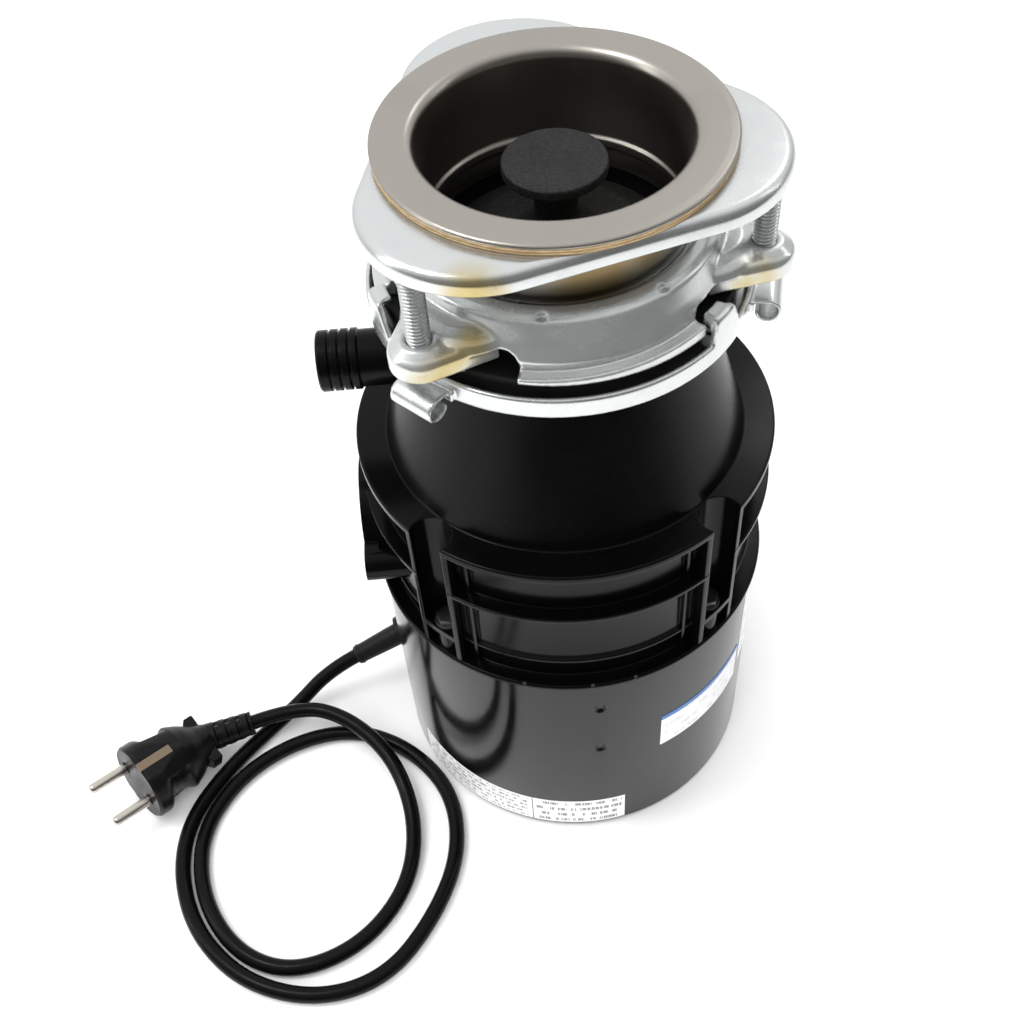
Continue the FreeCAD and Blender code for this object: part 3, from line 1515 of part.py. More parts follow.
for build in (
        build_sink_flange, build_flange_gasket, build_snap_ring, build_backup_plate, build_backup_screws,
        build_upper_mounting_ring, build_lower_mounting_ring, build_mounting_gasket, build_splash_baffle,
        build_stopper, build_container, build_container_bolts, build_grind_chamber,
        build_frames_and_bearings, build_gland_and_shell, build_stator_and_rotor,
        build_shaft_and_turntable, build_impellers, build_protector_and_relay, build_labels,
        build_cord, build_plug):
    build()
check_document()
write_parts()
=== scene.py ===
import json
import math

import bpy
import bmesh
from mathutils import Matrix, Vector


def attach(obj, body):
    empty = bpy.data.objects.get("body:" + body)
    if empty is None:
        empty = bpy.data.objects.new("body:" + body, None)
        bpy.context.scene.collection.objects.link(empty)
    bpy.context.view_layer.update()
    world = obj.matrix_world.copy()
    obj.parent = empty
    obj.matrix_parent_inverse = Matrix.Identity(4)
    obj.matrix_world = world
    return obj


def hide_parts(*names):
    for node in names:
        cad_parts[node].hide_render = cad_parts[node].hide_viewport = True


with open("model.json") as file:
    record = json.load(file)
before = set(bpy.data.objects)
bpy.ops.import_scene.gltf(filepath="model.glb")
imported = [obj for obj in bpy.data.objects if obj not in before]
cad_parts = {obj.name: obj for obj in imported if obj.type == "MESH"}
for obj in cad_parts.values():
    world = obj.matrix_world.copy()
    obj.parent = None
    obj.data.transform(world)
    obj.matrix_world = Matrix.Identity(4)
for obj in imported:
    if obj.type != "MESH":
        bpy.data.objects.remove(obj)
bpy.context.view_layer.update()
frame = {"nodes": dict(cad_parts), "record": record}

MM = 0.001
TURN = 2 * math.pi
EAR_ANGLES = (-133.9, -13.9, 106.1)
CHANNEL_ANGLES = (-134.0, -48.5, 46.0, 131.5)
SCREW_CIRCLE = 67.2
SCREW_BOTTOM = 269.5
SCREW_TOP = 310.1
SCREW_PITCH = 1.411
RING_SEGMENTS = 256
LOOP_POINTS = 288

# The cord's route, the same points as in the part's source, in metres.
CORD_ROUTE = [
    (-0.1038, 0.0083, 0.0235),
    (-0.1184, 0.0047, 0.0180),
    (-0.1365, -0.0060, 0.0050),
    (-0.1525, -0.0200, 0.0035),
    (-0.1690, -0.0375, 0.0035),
    (-0.1840, -0.0610, 0.0035),
    (-0.1865, -0.0870, 0.0035),
    (-0.1765, -0.1160, 0.0035),
    (-0.1540, -0.1390, 0.0035),
    (-0.1225, -0.1490, 0.0035),
    (-0.0930, -0.1420, 0.0035),
    (-0.0725, -0.1180, 0.0035),
    (-0.0600, -0.0895, 0.0035),
    (-0.0620, -0.0590, 0.0035),
    (-0.0805, -0.0345, 0.0035),
    (-0.1070, -0.0210, 0.0035),
    (-0.1360, -0.0245, 0.0035),
    (-0.1625, -0.0410, 0.0035),
    (-0.1785, -0.0685, 0.0035),
    (-0.1755, -0.0995, 0.0035),
    (-0.1585, -0.1260, 0.0035),
    (-0.1330, -0.1370, 0.0035),
    (-0.1030, -0.1270, 0.0035),
    (-0.0825, -0.1015, 0.0035),
    (-0.0790, -0.0705, 0.0060),
    (-0.0890, -0.0410, 0.0115),
    (-0.1105, -0.0190, 0.0132),
    (-0.1330, -0.0111, 0.0133),
    (-0.1555, -0.0180, 0.0133),
]
CORD_DIAMETER = 0.007
PLUG_NECK = Vector((-176.5, -24.4, 13.3))
PLUG_TURN = (math.radians(-140.0), math.radians(9.5), math.radians(-13.8))
PLUG_LENGTH = 38.0

# Where glossy surfaces see the floor fade to dark, along DARK_WAY, and how bright the sky is.
DARK_WAY = (0.35, -1.0, 0.0)
DARK_START = 0.46
DARK_END = 0.74
SKY = 1.0

# Places of the colour sockets on Blender's mix node.
MIX_FACTOR = 0
MIX_FIRST = 6
MIX_SECOND = 7
MIX_RESULT = 2


# ---------------------------------------------------------------- mesh helpers, in millimetres

def make_object(name, mesh):
    piece = bpy.data.objects.new(name, mesh)
    bpy.context.scene.collection.objects.link(piece)
    return piece


def mesh_object(name, verts, faces, sharp=32.0):
    """An object from millimetre points, with outward normals and edges sharp above an angle."""
    mesh = bpy.data.meshes.new(name)
    mesh.from_pydata([(x * MM, y * MM, z * MM) for x, y, z in verts], [], faces)
    work = bmesh.new()
    work.from_mesh(mesh)
    bmesh.ops.remove_doubles(work, verts=work.verts, dist=1e-7)
    bmesh.ops.recalc_face_normals(work, faces=work.faces)
    work.to_mesh(mesh)
    work.free()
    shade(mesh, sharp)
    return make_object(name, mesh)


def shade(mesh, sharp=32.0):
    mesh.shade_smooth()
    mesh.set_sharp_from_angle(angle=math.radians(sharp))


def stack(name, loops, ring=False, sharp=32.0):
    """A surface through loops of equal length. A ring joins its last loop to its first.

    Without ring, the two ends are capped.
    """
    count = len(loops[0])
    verts = [point for loop in loops for point in loop]
    faces = []
    rows = len(loops)
    for row in range(rows if ring else rows - 1):
        low = row * count
        high = ((row + 1) % rows) * count
        for index in range(count):
            after = (index + 1) % count
            faces.append((low + index, low + after, high + after, high + index))
    if not ring:
        faces.append(tuple(range(count)))
        faces.append(tuple((rows - 1) * count + index for index in reversed(range(count))))
    return mesh_object(name, verts, faces, sharp)


def circle(radius, height, count=RING_SEGMENTS):
    return [
        (radius * math.cos(TURN * index / count), radius * math.sin(TURN * index / count), height)
        for index in range(count)]


def eased(profile, steps=5):
    """Replace each corner (a, b, rounding) of a closed section by an arc of that rounding."""
    points = []
    count = len(profile)
    for index, corner in enumerate(profile):
        here = Vector(corner[:2])
        rounding = corner[2] if len(corner) > 2 else 0.0
        back = Vector(profile[index - 1][:2]) - here
        ahead = Vector(profile[(index + 1) % count][:2]) - here
        if rounding <= 0 or back.length == 0 or ahead.length == 0:
            points.append(tuple(here))
            continue
        turn = math.pi - back.angle(ahead)
        if turn < 0.02:
            points.append(tuple(here))
            continue
        reach = min(rounding * math.tan(turn / 2), 0.48 * back.length, 0.48 * ahead.length)
        radius = reach / math.tan(turn / 2)
        back.normalize()
        ahead.normalize()
        middle = (back + ahead).normalized()
        centre = here + middle * math.hypot(radius, reach)
        first = here + back * reach - centre
        last = here + ahead * reach - centre
        for step in range(steps + 1):
            part = step / steps
            arm = (first * (1 - part) + last * part).normalized() * radius
            points.append(tuple(centre + arm))
    return points


def lathe(name, profile, segments=RING_SEGMENTS, sharp=32.0, steps=5):
    """A closed half section turned about Z."""
    loops = [circle(max(radius, 0.0), height, segments) for radius, height in eased(profile, steps)]
    return stack(name, loops, ring=True, sharp=sharp)


def hull_loop(circles, inset, height, count=LOOP_POINTS):
    """The outline round some circles (x, y, radius), moved inwards and set at a height."""
    loop = []
    for index in range(count):
        angle = TURN * index / count
        away = Vector((math.cos(angle), math.sin(angle)))
        x, y, radius = max((c[0] * away.x + c[1] * away.y + c[2], *c) for c in circles)[1:]
        loop.append((x + (radius - inset) * away.x, y + (radius - inset) * away.y, height))
    return loop


def polar(radius, angle):
    return radius * math.cos(math.radians(angle)), radius * math.sin(math.radians(angle))


def tube(name, radius, start, end, segments=48, end_radius=None):
    """A plain solid cylinder or cone between two points."""
    start = Vector(start)
    end = Vector(end)
    axis = (end - start).normalized()
    side = axis.orthogonal().normalized()
    other = axis.cross(side)
    loops = []
    for centre, size in ((start, radius), (end, end_radius or radius)):
        loop = []
        for k in range(segments):
            turn = TURN * k / segments
            loop.append(tuple(centre + side * size * math.cos(turn) + other * size * math.sin(turn)))
        loops.append(loop)
    return stack(name, loops)


def upright(name, radius, x, y, bottom, top, segments=64):
    return tube(name, radius, (x, y, bottom), (x, y, top), segments)


def slab(name, low, high, matrix=None):
    """A box between two corners, moved by a matrix in millimetres."""
    corners = [
        Vector((x, y, z)) for x in (low[0], high[0]) for y in (low[1], high[1]) for z in (low[2], high[2])]
    if matrix is not None:
        corners = [matrix @ corner for corner in corners]
    faces = [(0, 1, 3, 2), (4, 6, 7, 5), (0, 4, 5, 1), (2, 3, 7, 6), (0, 2, 6, 4), (1, 5, 7, 3)]
    return mesh_object(name, [tuple(corner) for corner in corners], faces)


def turned_about_z(angle):
    return Matrix.Rotation(math.radians(angle), 4, "Z")


def join(name, pieces):
    """Put the meshes of several pieces into the first."""
    work = bmesh.new()
    for piece in pieces:
        work.from_mesh(piece.data)
    mesh = bpy.data.meshes.new(name)
    work.to_mesh(mesh)
    work.free()
    for piece in pieces:
        bpy.data.objects.remove(piece)
    return make_object(name, mesh)


def combine(target, tools, operation, sharp=32.0):
    """Add the tools to the target, or cut them from it, one after another."""
    for tool in tools:
        modifier = target.modifiers.new("boolean", "BOOLEAN")
        modifier.operation = operation
        modifier.solver = "MANIFOLD"
        modifier.object = tool
        bpy.context.view_layer.update()
        graph = bpy.context.evaluated_depsgraph_get()
        mesh = bpy.data.meshes.new_from_object(target.evaluated_get(graph))
        target.modifiers.clear()
        if len(mesh.polygons) == 0:
            raise RuntimeError("boolean failed on " + target.name)
        target.data = mesh
        bpy.data.objects.remove(tool)
    shade(target.data, sharp)
    return target


# ---------------------------------------------------------------- materials

class Paint:
    """A node-based material built step by step."""

    def __init__(self, name, colour, metallic=0.0, roughness=0.5, **sockets):
        self.material = bpy.data.materials.new(name)
        self.material.use_nodes = True
        self.tree = self.material.node_tree
        self.shader = self.tree.nodes["Principled BSDF"]
        self.shader.inputs["Base Color"].default_value = (*colour, 1)
        self.shader.inputs["Metallic"].default_value = metallic
        self.shader.inputs["Roughness"].default_value = roughness
        for socket, value in sockets.items():
            self.shader.inputs[socket.replace("_", " ")].default_value = value
        self.colour = None
        self.normal = None

    def node(self, kind, **settings):
        made = self.tree.nodes.new(kind)
        for key, value in settings.items():
            setattr(made, key, value)
        return made

    def link(self, out, into):
        self.tree.links.new(out, into)

    def place(self):
        return self.node("ShaderNodeTexCoord").outputs["Object"]

    def noise(self, scale, detail=3.0, rough=0.5, stretch=None, vector=None):
        made = self.node("ShaderNodeTexNoise")
        made.inputs["Scale"].default_value = scale
        made.inputs["Detail"].default_value = detail
        made.inputs["Roughness"].default_value = rough
        source = vector or self.place()
        if stretch:
            mapping = self.node("ShaderNodeMapping")
            mapping.inputs["Scale"].default_value = stretch
            self.link(source, mapping.inputs["Vector"])
            source = mapping.outputs["Vector"]
        self.link(source, made.inputs["Vector"])
        return made.outputs["Fac"]

    def ramp(self, value, low, high, out_low=0.0, out_high=1.0):
        made = self.node("ShaderNodeMapRange")
        made.interpolation_type = "SMOOTHSTEP"
        limits = {"From Min": low, "From Max": high, "To Min": out_low, "To Max": out_high}
        for name, number in limits.items():
            made.inputs[name].default_value = number
        self.link(value, made.inputs["Value"])
        return made.outputs["Result"]

    def math(self, operation, first, second=None):
        made = self.node("ShaderNodeMath", operation=operation)
        for index, value in enumerate((first, second)):
            if value is None:
                continue
            if isinstance(value, (int, float)):
                made.inputs[index].default_value = value
            else:
                self.link(value, made.inputs[index])
        return made.outputs[0]

    def mix(self, amount, first, second):
        """Blend two colours, each a tuple or a socket."""
        made = self.node("ShaderNodeMix", data_type="RGBA")
        self.link(amount, made.inputs[MIX_FACTOR])
        for index, value in ((MIX_FIRST, first), (MIX_SECOND, second)):
            if isinstance(value, tuple):
                made.inputs[index].default_value = (*value, 1)
            else:
                self.link(value, made.inputs[index])
        return made.outputs[MIX_RESULT]

    def tint(self, amount, colour):
        """Lay a colour over what is there by an amount."""
        base = self.colour or tuple(self.shader.inputs["Base Color"].default_value)[:3]
        self.colour = self.mix(amount, base, colour)
        self.link(self.colour, self.shader.inputs["Base Color"])

    def roughness(self, value):
        self.link(value, self.shader.inputs["Roughness"])

    def bump(self, height, distance, strength=1.0):
        made = self.node("ShaderNodeBump")
        made.inputs["Strength"].default_value = strength
        made.inputs["Distance"].default_value = distance * MM
        self.link(height, made.inputs["Height"])
        if self.normal is not None:
            self.link(self.normal, made.inputs["Normal"])
        self.normal = made.outputs["Normal"]
        self.link(self.normal, self.shader.inputs["Normal"])

    def soft_edges(self, radius):
        made = self.node("ShaderNodeBevel")
        made.samples = 6
        made.inputs["Radius"].default_value = radius * MM
        self.normal = made.outputs["Normal"]
        self.link(self.normal, self.shader.inputs["Normal"])

    def near(self, spot, reach):
        """One at a spot given in millimetres, falling to zero at the reach."""
        made = self.node("ShaderNodeVectorMath", operation="DISTANCE")
        self.link(self.place(), made.inputs[0])
        made.inputs[1].default_value = [value * MM for value in spot]
        return self.ramp(made.outputs["Value"], reach * MM, 0.25 * reach * MM)


def stainless():
    paint = Paint("flange_stainless", (0.42, 0.395, 0.355), 1.0, 0.3)
    paint.soft_edges(0.5)
    blotch = paint.noise(18.0, 3.0)
    paint.roughness(paint.ramp(blotch, 0.3, 0.7, 0.27, 0.35))
    paint.tint(paint.ramp(paint.noise(40.0, 4.0), 0.4, 0.75, 0.0, 0.3), (0.35, 0.325, 0.29))
    for spot, reach in (((8, -44, 292), 22), ((26, -36, 296), 12)):
        paint.tint(paint.near(spot, reach), (0.27, 0.20, 0.10))
    paint.bump(paint.noise(1600.0, 2.0), 0.02, 0.4)
    paint.bump(paint.noise(35.0, 2.0), 0.2, 0.15)
    return paint.material


def zinc(name="zinc_plate", stains=(), edge=0.8, metal=0.88):
    """Bright zinc, a little uneven, with soft patches of yellow chromate."""
    paint = Paint(name, (0.65, 0.67, 0.665), metal, 0.28)
    if edge:
        paint.soft_edges(edge)
    cloud = paint.noise(60.0, 4.0, 0.55)
    paint.roughness(paint.ramp(cloud, 0.3, 0.75, 0.2, 0.32))
    paint.tint(paint.ramp(paint.noise(95.0, 4.0, 0.6), 0.5, 0.75, 0.0, 0.14), (0.55, 0.58, 0.60))
    paint.tint(paint.ramp(paint.noise(26.0, 3.0, 0.6), 0.56, 0.72, 0.0, 0.15), (0.62, 0.60, 0.48))
    soft = paint.ramp(paint.noise(70.0, 3.0, 0.5), 0.25, 0.6, 0.25, 0.9)
    for spot, reach in stains:
        paint.tint(paint.math("MULTIPLY", paint.near(spot, reach), soft), (0.52, 0.42, 0.17))
    paint.bump(paint.noise(60.0, 2.0), 0.25, 0.2)
    paint.bump(paint.noise(420.0, 2.0), 0.02, 0.25)
    return paint.material


def black_moulding():
    """The container: glossy ribs and wall, and a finer satin skin on its cone."""
    paint = Paint("container_black", (0.0015, 0.0015, 0.0016), 0.0, 0.22, IOR=1.22)
    paint.soft_edges(0.7)
    height = paint.node("ShaderNodeSeparateXYZ")
    paint.link(paint.place(), height.inputs[0])
    on_cone = paint.ramp(height.outputs["Z"], 0.1895, 0.1915)
    cloud = paint.ramp(paint.noise(30.0, 4.0, 0.6), 0.3, 0.7, -0.03, 0.05)
    skin = paint.math("ADD", paint.math("MULTIPLY", on_cone, 0.07), 0.17)
    paint.roughness(paint.math("ADD", skin, cloud))
    paint.bump(paint.noise(1400.0, 2.0), 0.012, 0.35)
    return paint.material


def shell_enamel():
    paint = Paint("shell_enamel", (0.002, 0.002, 0.0022), 0.0, 0.12, IOR=1.36)
    paint.roughness(paint.ramp(paint.noise(22.0, 3.0), 0.3, 0.7, 0.09, 0.16))
    paint.bump(paint.noise(150.0, 2.0), 0.05, 0.12)
    paint.bump(paint.noise(900.0, 2.0), 0.006, 0.2)
    return paint.material


def rubber(name, shade=0.006, roughness=0.4, grain=900.0):
    paint = Paint(name, (shade, shade, shade), 0.0, roughness, IOR=1.3)
    paint.roughness(paint.ramp(paint.noise(80.0, 4.0), 0.3, 0.7, roughness - 0.08, roughness + 0.1))
    paint.bump(paint.noise(grain, 3.0), 0.05, 0.4)
    return paint.material


def knob_plastic():
    paint = Paint("stopper_plastic", (0.005, 0.005, 0.005), 0.0, 0.55, IOR=1.33)
    paint.soft_edges(0.5)
    paint.roughness(paint.ramp(paint.noise(120.0, 4.0), 0.3, 0.7, 0.42, 0.58))
    cells = paint.node("ShaderNodeTexVoronoi")
    cells.inputs["Scale"].default_value = 1100.0
    paint.link(paint.place(), cells.inputs["Vector"])
    paint.bump(cells.outputs["Distance"], 0.18, 0.7)
    paint.tint(paint.ramp(cells.outputs["Distance"], 0.1, 0.8, 0.0, 0.6), (0.018, 0.019, 0.018))
    return paint.material


def plug_plastic():
    paint = Paint("plug_black", (0.004, 0.004, 0.004), 0.0, 0.33, IOR=1.27)
    paint.soft_edges(0.5)
    paint.roughness(paint.ramp(paint.noise(90.0, 4.0), 0.3, 0.7, 0.26, 0.42))
    paint.bump(paint.noise(1500.0, 2.0), 0.03, 0.4)
    return paint.material


def cord_jacket():
    paint = Paint("cord_black", (0.0025, 0.0025, 0.0028), 0.0, 0.24, IOR=1.22)
    paint.roughness(paint.ramp(paint.noise(120.0, 3.0), 0.3, 0.7, 0.2, 0.34))
    paint.bump(paint.noise(260.0, 2.0), 0.12, 0.15)
    paint.bump(paint.noise(2200.0, 2.0), 0.01, 0.3)
    return paint.material


def fibre():
    paint = Paint("fibre_board", (0.42, 0.29, 0.15), 0.0, 0.75)
    strand = paint.noise(300.0, 5.0, 0.7, stretch=(1, 1, 9))
    paint.tint(paint.ramp(strand, 0.4, 0.65), (0.62, 0.47, 0.27))
    layer = paint.node("ShaderNodeTexWave", wave_type="BANDS", bands_direction="Z")
    layer.inputs["Scale"].default_value = 320.0
    layer.inputs["Distortion"].default_value = 1.0
    paint.link(paint.place(), layer.inputs["Vector"])
    paint.tint(paint.ramp(layer.outputs["Fac"], 0.55, 0.9, 0.0, 0.6), (0.20, 0.13, 0.07))
    paint.bump(strand, 0.2, 0.5)
    return paint.material


def bare_metal(name, colour, roughness, variation=0.08, grain=500.0):
    paint = Paint(name, colour, 1.0, roughness)
    paint.soft_edges(0.3)
    cloud = paint.noise(90.0, 4.0)
    paint.roughness(paint.ramp(cloud, 0.3, 0.7, roughness - variation, roughness + variation))
    darker = tuple(value * 0.72 for value in colour)
    paint.tint(paint.ramp(paint.noise(160.0, 4.0, 0.6), 0.5, 0.75, 0.0, 0.5), darker)
    paint.bump(paint.noise(grain, 3.0), 0.04, 0.4)
    return paint.material


def plain_plastic(name, colour, roughness=0.45):
    paint = Paint(name, colour, 0.0, roughness)
    paint.soft_edges(0.4)
    paint.roughness(paint.ramp(paint.noise(90.0, 4.0), 0.3, 0.7, roughness - 0.06, roughness + 0.08))
    darker = tuple(value * 0.7 for value in colour)
    paint.tint(paint.ramp(paint.noise(50.0, 3.0), 0.45, 0.75, 0.0, 0.25), darker)
    paint.bump(paint.noise(1200.0, 2.0), 0.03, 0.3)
    return paint.material


def windings():
    paint = Paint("winding_copper", (0.55, 0.20, 0.09), 0.9, 0.32)
    strands = paint.node("ShaderNodeTexWave", wave_type="RINGS", rings_direction="Z")
    strands.inputs["Scale"].default_value = 260.0
    strands.inputs["Distortion"].default_value = 3.0
    paint.link(paint.place(), strands.inputs["Vector"])
    paint.bump(strands.outputs["Fac"], 0.5, 0.8)
    paint.tint(paint.ramp(strands.outputs["Fac"], 0.2, 0.5, 0.6, 0.0), (0.20, 0.07, 0.03))
    return paint.material


def printed(name, rows, columns, ink=(0.10, 0.10, 0.11), band=None, paper=(0.95, 0.95, 0.95), strength=0.85):
    """A white label with rows of meaningless dashes. Its map runs from 0 to 1 both ways."""
    paint = Paint(name, paper, 0.0, 0.3)
    split = paint.node("ShaderNodeSeparateXYZ")
    paint.link(paint.node("ShaderNodeTexCoord").outputs["UV"], split.inputs[0])
    across = split.outputs["X"]
    along = split.outputs["Y"]
    row = paint.math("MULTIPLY", along, float(rows))
    inside = paint.math("FRACT", row)
    line = paint.math("MULTIPLY", paint.ramp(inside, 0.22, 0.3), paint.ramp(inside, 0.78, 0.7))
    place = paint.node("ShaderNodeCombineXYZ")
    paint.link(paint.math("MULTIPLY", across, float(columns)), place.inputs[0])
    paint.link(paint.math("MULTIPLY", paint.math("FLOOR", row), 7.3), place.inputs[1])
    words = paint.noise(0.55, 1.0, vector=place.outputs[0])
    strokes = paint.noise(2.6, 2.0, vector=place.outputs[0])
    dash = paint.math("MULTIPLY", paint.ramp(words, 0.46, 0.50), paint.ramp(strokes, 0.42, 0.50))
    margin = paint.math("MULTIPLY", paint.ramp(across, 0.03, 0.04), paint.ramp(across, 0.97, 0.96))
    frame_edge = paint.math("MULTIPLY", paint.ramp(along, 0.06, 0.08), paint.ramp(along, 0.94, 0.92))
    text = paint.math("MULTIPLY", dash, line)
    field = paint.math("MULTIPLY", margin, frame_edge)
    ink_here = paint.math("MULTIPLY", text, field)
    paint.tint(paint.math("MULTIPLY", ink_here, strength), ink)
    if band:
        paint.tint(paint.ramp(along, band[0], band[0] + 0.02), band[1])
    paint.roughness(paint.ramp(paint.noise(60.0, 3.0), 0.3, 0.7, 0.24, 0.36))
    paint.bump(paint.noise(200.0, 2.0), 0.03, 0.2)
    return paint.material


STAINS_PLATE = [((-29, -64, 307), 13), ((-24, -62, 306), 9)]
STAINS_RING = [((-36, -57, 272), 13), ((-45, -60, 270), 9), ((60, -26, 270), 12), ((-30, -50, 276), 8)]
THREAD_ZINC = zinc("zinc_thread", edge=0.0)
MATERIALS = {
    "stainless": stainless(),
    "zinc": zinc(),
    "fibre": fibre(),
    "housing": black_moulding(),
    "shell": shell_enamel(),
    "rubber": rubber("black_rubber"),
    "knob": knob_plastic(),
    "label": printed("label_film", 6, 30),
    "galvanised": bare_metal("galvanised_steel", (0.60, 0.61, 0.62), 0.36),
    "iron": bare_metal("motor_iron", (0.25, 0.25, 0.26), 0.5),
    "casting": bare_metal("cast_aluminium", (0.58, 0.58, 0.60), 0.48, grain=260.0),
    "copper": windings(),
    "bronze": bare_metal("bearing_bronze", (0.55, 0.38, 0.18), 0.42),
    "black_steel": bare_metal("bolt_black_steel", (0.10, 0.10, 0.105), 0.4),
    "black_part": plain_plastic("black_part", (0.02, 0.02, 0.021)),
    "red_button": plain_plastic("red_button", (0.55, 0.02, 0.015), 0.35),
    "green_screw": plain_plastic("green_screw", (0.02, 0.28, 0.08), 0.35),
    "cord_jacket": cord_jacket(),
    "plug_plastic": plug_plastic(),
    "pin_metal": bare_metal("pin_nickel", (0.62, 0.58, 0.52), 0.24, 0.04, grain=120.0),
    "clip_metal": bare_metal("clip_nickel", (0.26, 0.20, 0.14), 0.42),
}

SLOT_OF = {entry["node"]: entry["material_slot"] for entry in frame["record"]["subparts"]}
BODY_OF = {}
for body_name, members in frame["record"]["behaviour"]["bodies"].items():
    for member in members:
        BODY_OF[member] = body_name
for node_name, node_object in frame["nodes"].items():
    node_object.data.materials.clear()
    node_object.data.materials.append(MATERIALS[SLOT_OF[node_name]])
    shade(node_object.data)


def settle(piece, *nodes, material=None):
    """Put a finished piece in the place of its CAD nodes, on their body and in their finish."""
    piece.data.materials.clear()
    piece.data.materials.append(material or MATERIALS[SLOT_OF[nodes[0]]])
    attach(piece, BODY_OF[nodes[0]])
    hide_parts(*nodes)
    return piece


# ---------------------------------------------------------------- sink mount

def build_sink_flange():
    profile = [
        (43.1, 272.0, 0.4), (44.5, 272.0, 0.4), (44.5, 280.4, 0.4), (43.35, 280.9, 0.3),
        (43.35, 283.1, 0.3), (44.5, 283.6, 0.4), (44.5, 314.4, 1.4), (56.9, 314.4, 0.4),
        (57.15, 315.2, 0.5), (56.4, 315.85, 1.0), (54.0, 316.0, 3.0), (43.1, 316.0, 3.9),
        (43.1, 284.4, 1.2), (41.9, 283.2, 0.9), (41.9, 280.8, 0.9), (43.1, 279.6, 1.2),
    ]
    settle(lathe("flange", profile, 320, sharp=60.0, steps=8), "sink_flange")


def build_flange_gasket():
    upper = lathe("gasket_upper", [(45.2, 313.45), (57.0, 313.45, 0.3), (57.0, 314.4, 0.3), (45.2, 314.4)])
    lower = lathe("gasket_lower", [(45.2, 312.4), (56.9, 312.4, 0.3), (56.9, 313.3, 0.3), (45.2, 313.3)])
    settle(join("fibre_gasket", [upper, lower]), "flange_gasket")


def lobes(radius):
    return [(*polar(35.8, angle), radius) for angle in EAR_ANGLES]


def build_backup_plate():
    outer = eased([(12.0, 312.4), (0.0, 312.4, 4.2), (0.0, 305.4, 0.8), (2.0, 305.4, 0.8), (2.0, 310.2, 1.6),
                   (9.0, 310.2)], 7)
    loops = [hull_loop(lobes(37.9), inset, height) for inset, height in outer]
    bore = [(45.1, 310.2), (45.1, 310.6), (45.1, 312.0), (45.5, 312.4)]
    loops += [circle(radius, height, LOOP_POINTS) for radius, height in bore]
    plate = stack("backup_plate_skin", loops, ring=True, sharp=40.0)
    settle(plate, "backup_plate", material=zinc("zinc_backup_plate", STAINS_PLATE))


def thread_loop(x, y, z, radius, count=40):
    return [
        (x + radius(TURN * k / count, z) * math.cos(TURN * k / count),
         y + radius(TURN * k / count, z) * math.sin(TURN * k / count), z)
        for k in range(count)]


def build_screws():
    """Backup screws with their real thread, a chamfered end and a driver slot."""
    crest = 3.95
    depth = 0.98
    chamfer = 1.2
    for index, angle in enumerate(EAR_ANGLES, start=1):
        x, y = polar(SCREW_CIRCLE, angle)

        def radius(turn, z):
            phase = (z / SCREW_PITCH - turn / TURN) % 1.0
            groove = max(0.0, 1.0 - abs(phase - 0.5) / 0.44)
            taper = max(0.0, chamfer - (z - SCREW_BOTTOM), chamfer - (SCREW_TOP - z)) * 0.9
            return min(crest - depth * groove, crest - taper)

        steps = int((SCREW_TOP - SCREW_BOTTOM) / (SCREW_PITCH / 10))
        heights = [SCREW_BOTTOM + (SCREW_TOP - SCREW_BOTTOM) * k / steps for k in range(steps + 1)]
        screw = stack("screw_%d" % index, [thread_loop(x, y, z, radius) for z in heights], sharp=60.0)
        matrix = Matrix.Translation((x, y, SCREW_BOTTOM)) @ turned_about_z(angle)
        slot = slab("slot", (-6, -0.6, -1), (6, 0.6, 1.6), matrix)
        combine(screw, [slot], "DIFFERENCE", 60.0)
        settle(screw, "backup_screw_%d" % index, material=THREAD_ZINC)


def ear_piece(angle):
    """One ear: a box pressed from sheet, a raised fold towards the ring and a collar for the screw."""
    circles = [(*polar(44.0, angle), 20.0), (*polar(SCREW_CIRCLE, angle), 10.4)]
    section = eased([(12.0, 268.6), (0.0, 268.6, 0.8), (0.0, 277.0, 3.2), (12.0, 277.0)], 6)
    inner = [point for point in section if point[0] < 9.0]
    ear = stack("ear", [hull_loop(circles, inset, height, 160) for inset, height in inner], sharp=40.0)
    fold = [(*polar(46.0, angle), 21.0), (*polar(58.0, angle), 9.0)]
    slope = stack("fold", [hull_loop(fold, inset, height, 160) for inset, height in
                           ((0.0, 274.0), (1.0, 277.0), (3.5, 278.8), (7.0, 280.2))])
    x, y = polar(SCREW_CIRCLE, angle)
    loops = []
    for radius, height in [(8.4, 276.0), (8.0, 277.2), (6.9, 278.0), (6.3, 278.6)]:
        loops.append([(x + radius * math.cos(TURN * k / 64), y + radius * math.sin(TURN * k / 64), height)
                      for k in range(64)])
    return [ear, slope, stack("collar", loops)]


def window_cutter(angle, first, last):
    """An arched hole through the ring's wall, between two angles from an ear."""
    arch = eased([(first, 262.0), (last, 262.0), (last, 274.6, 5.5), (first, 273.4, 3.5)], 6)
    loops = []
    for radius in (50.5, 67.0):
        loops.append([(*polar(radius, angle + turn), height) for turn, height in arch])
    return stack("window", loops)


def soften(piece, voxel=0.42, rounds=6):
    """Melt a hard-edged piece into the soft forms of pressed sheet."""
    remesh = piece.modifiers.new("remesh", "REMESH")
    remesh.mode = "VOXEL"
    remesh.voxel_size = voxel * MM
    remesh.use_smooth_shade = True
    smooth = piece.modifiers.new("smooth", "SMOOTH")
    smooth.factor = 0.5
    smooth.iterations = rounds
    bpy.context.view_layer.update()
    graph = bpy.context.evaluated_depsgraph_get()
    piece.data = bpy.data.meshes.new_from_object(piece.evaluated_get(graph))
    piece.modifiers.clear()
    shade(piece.data, 60.0)
    return piece


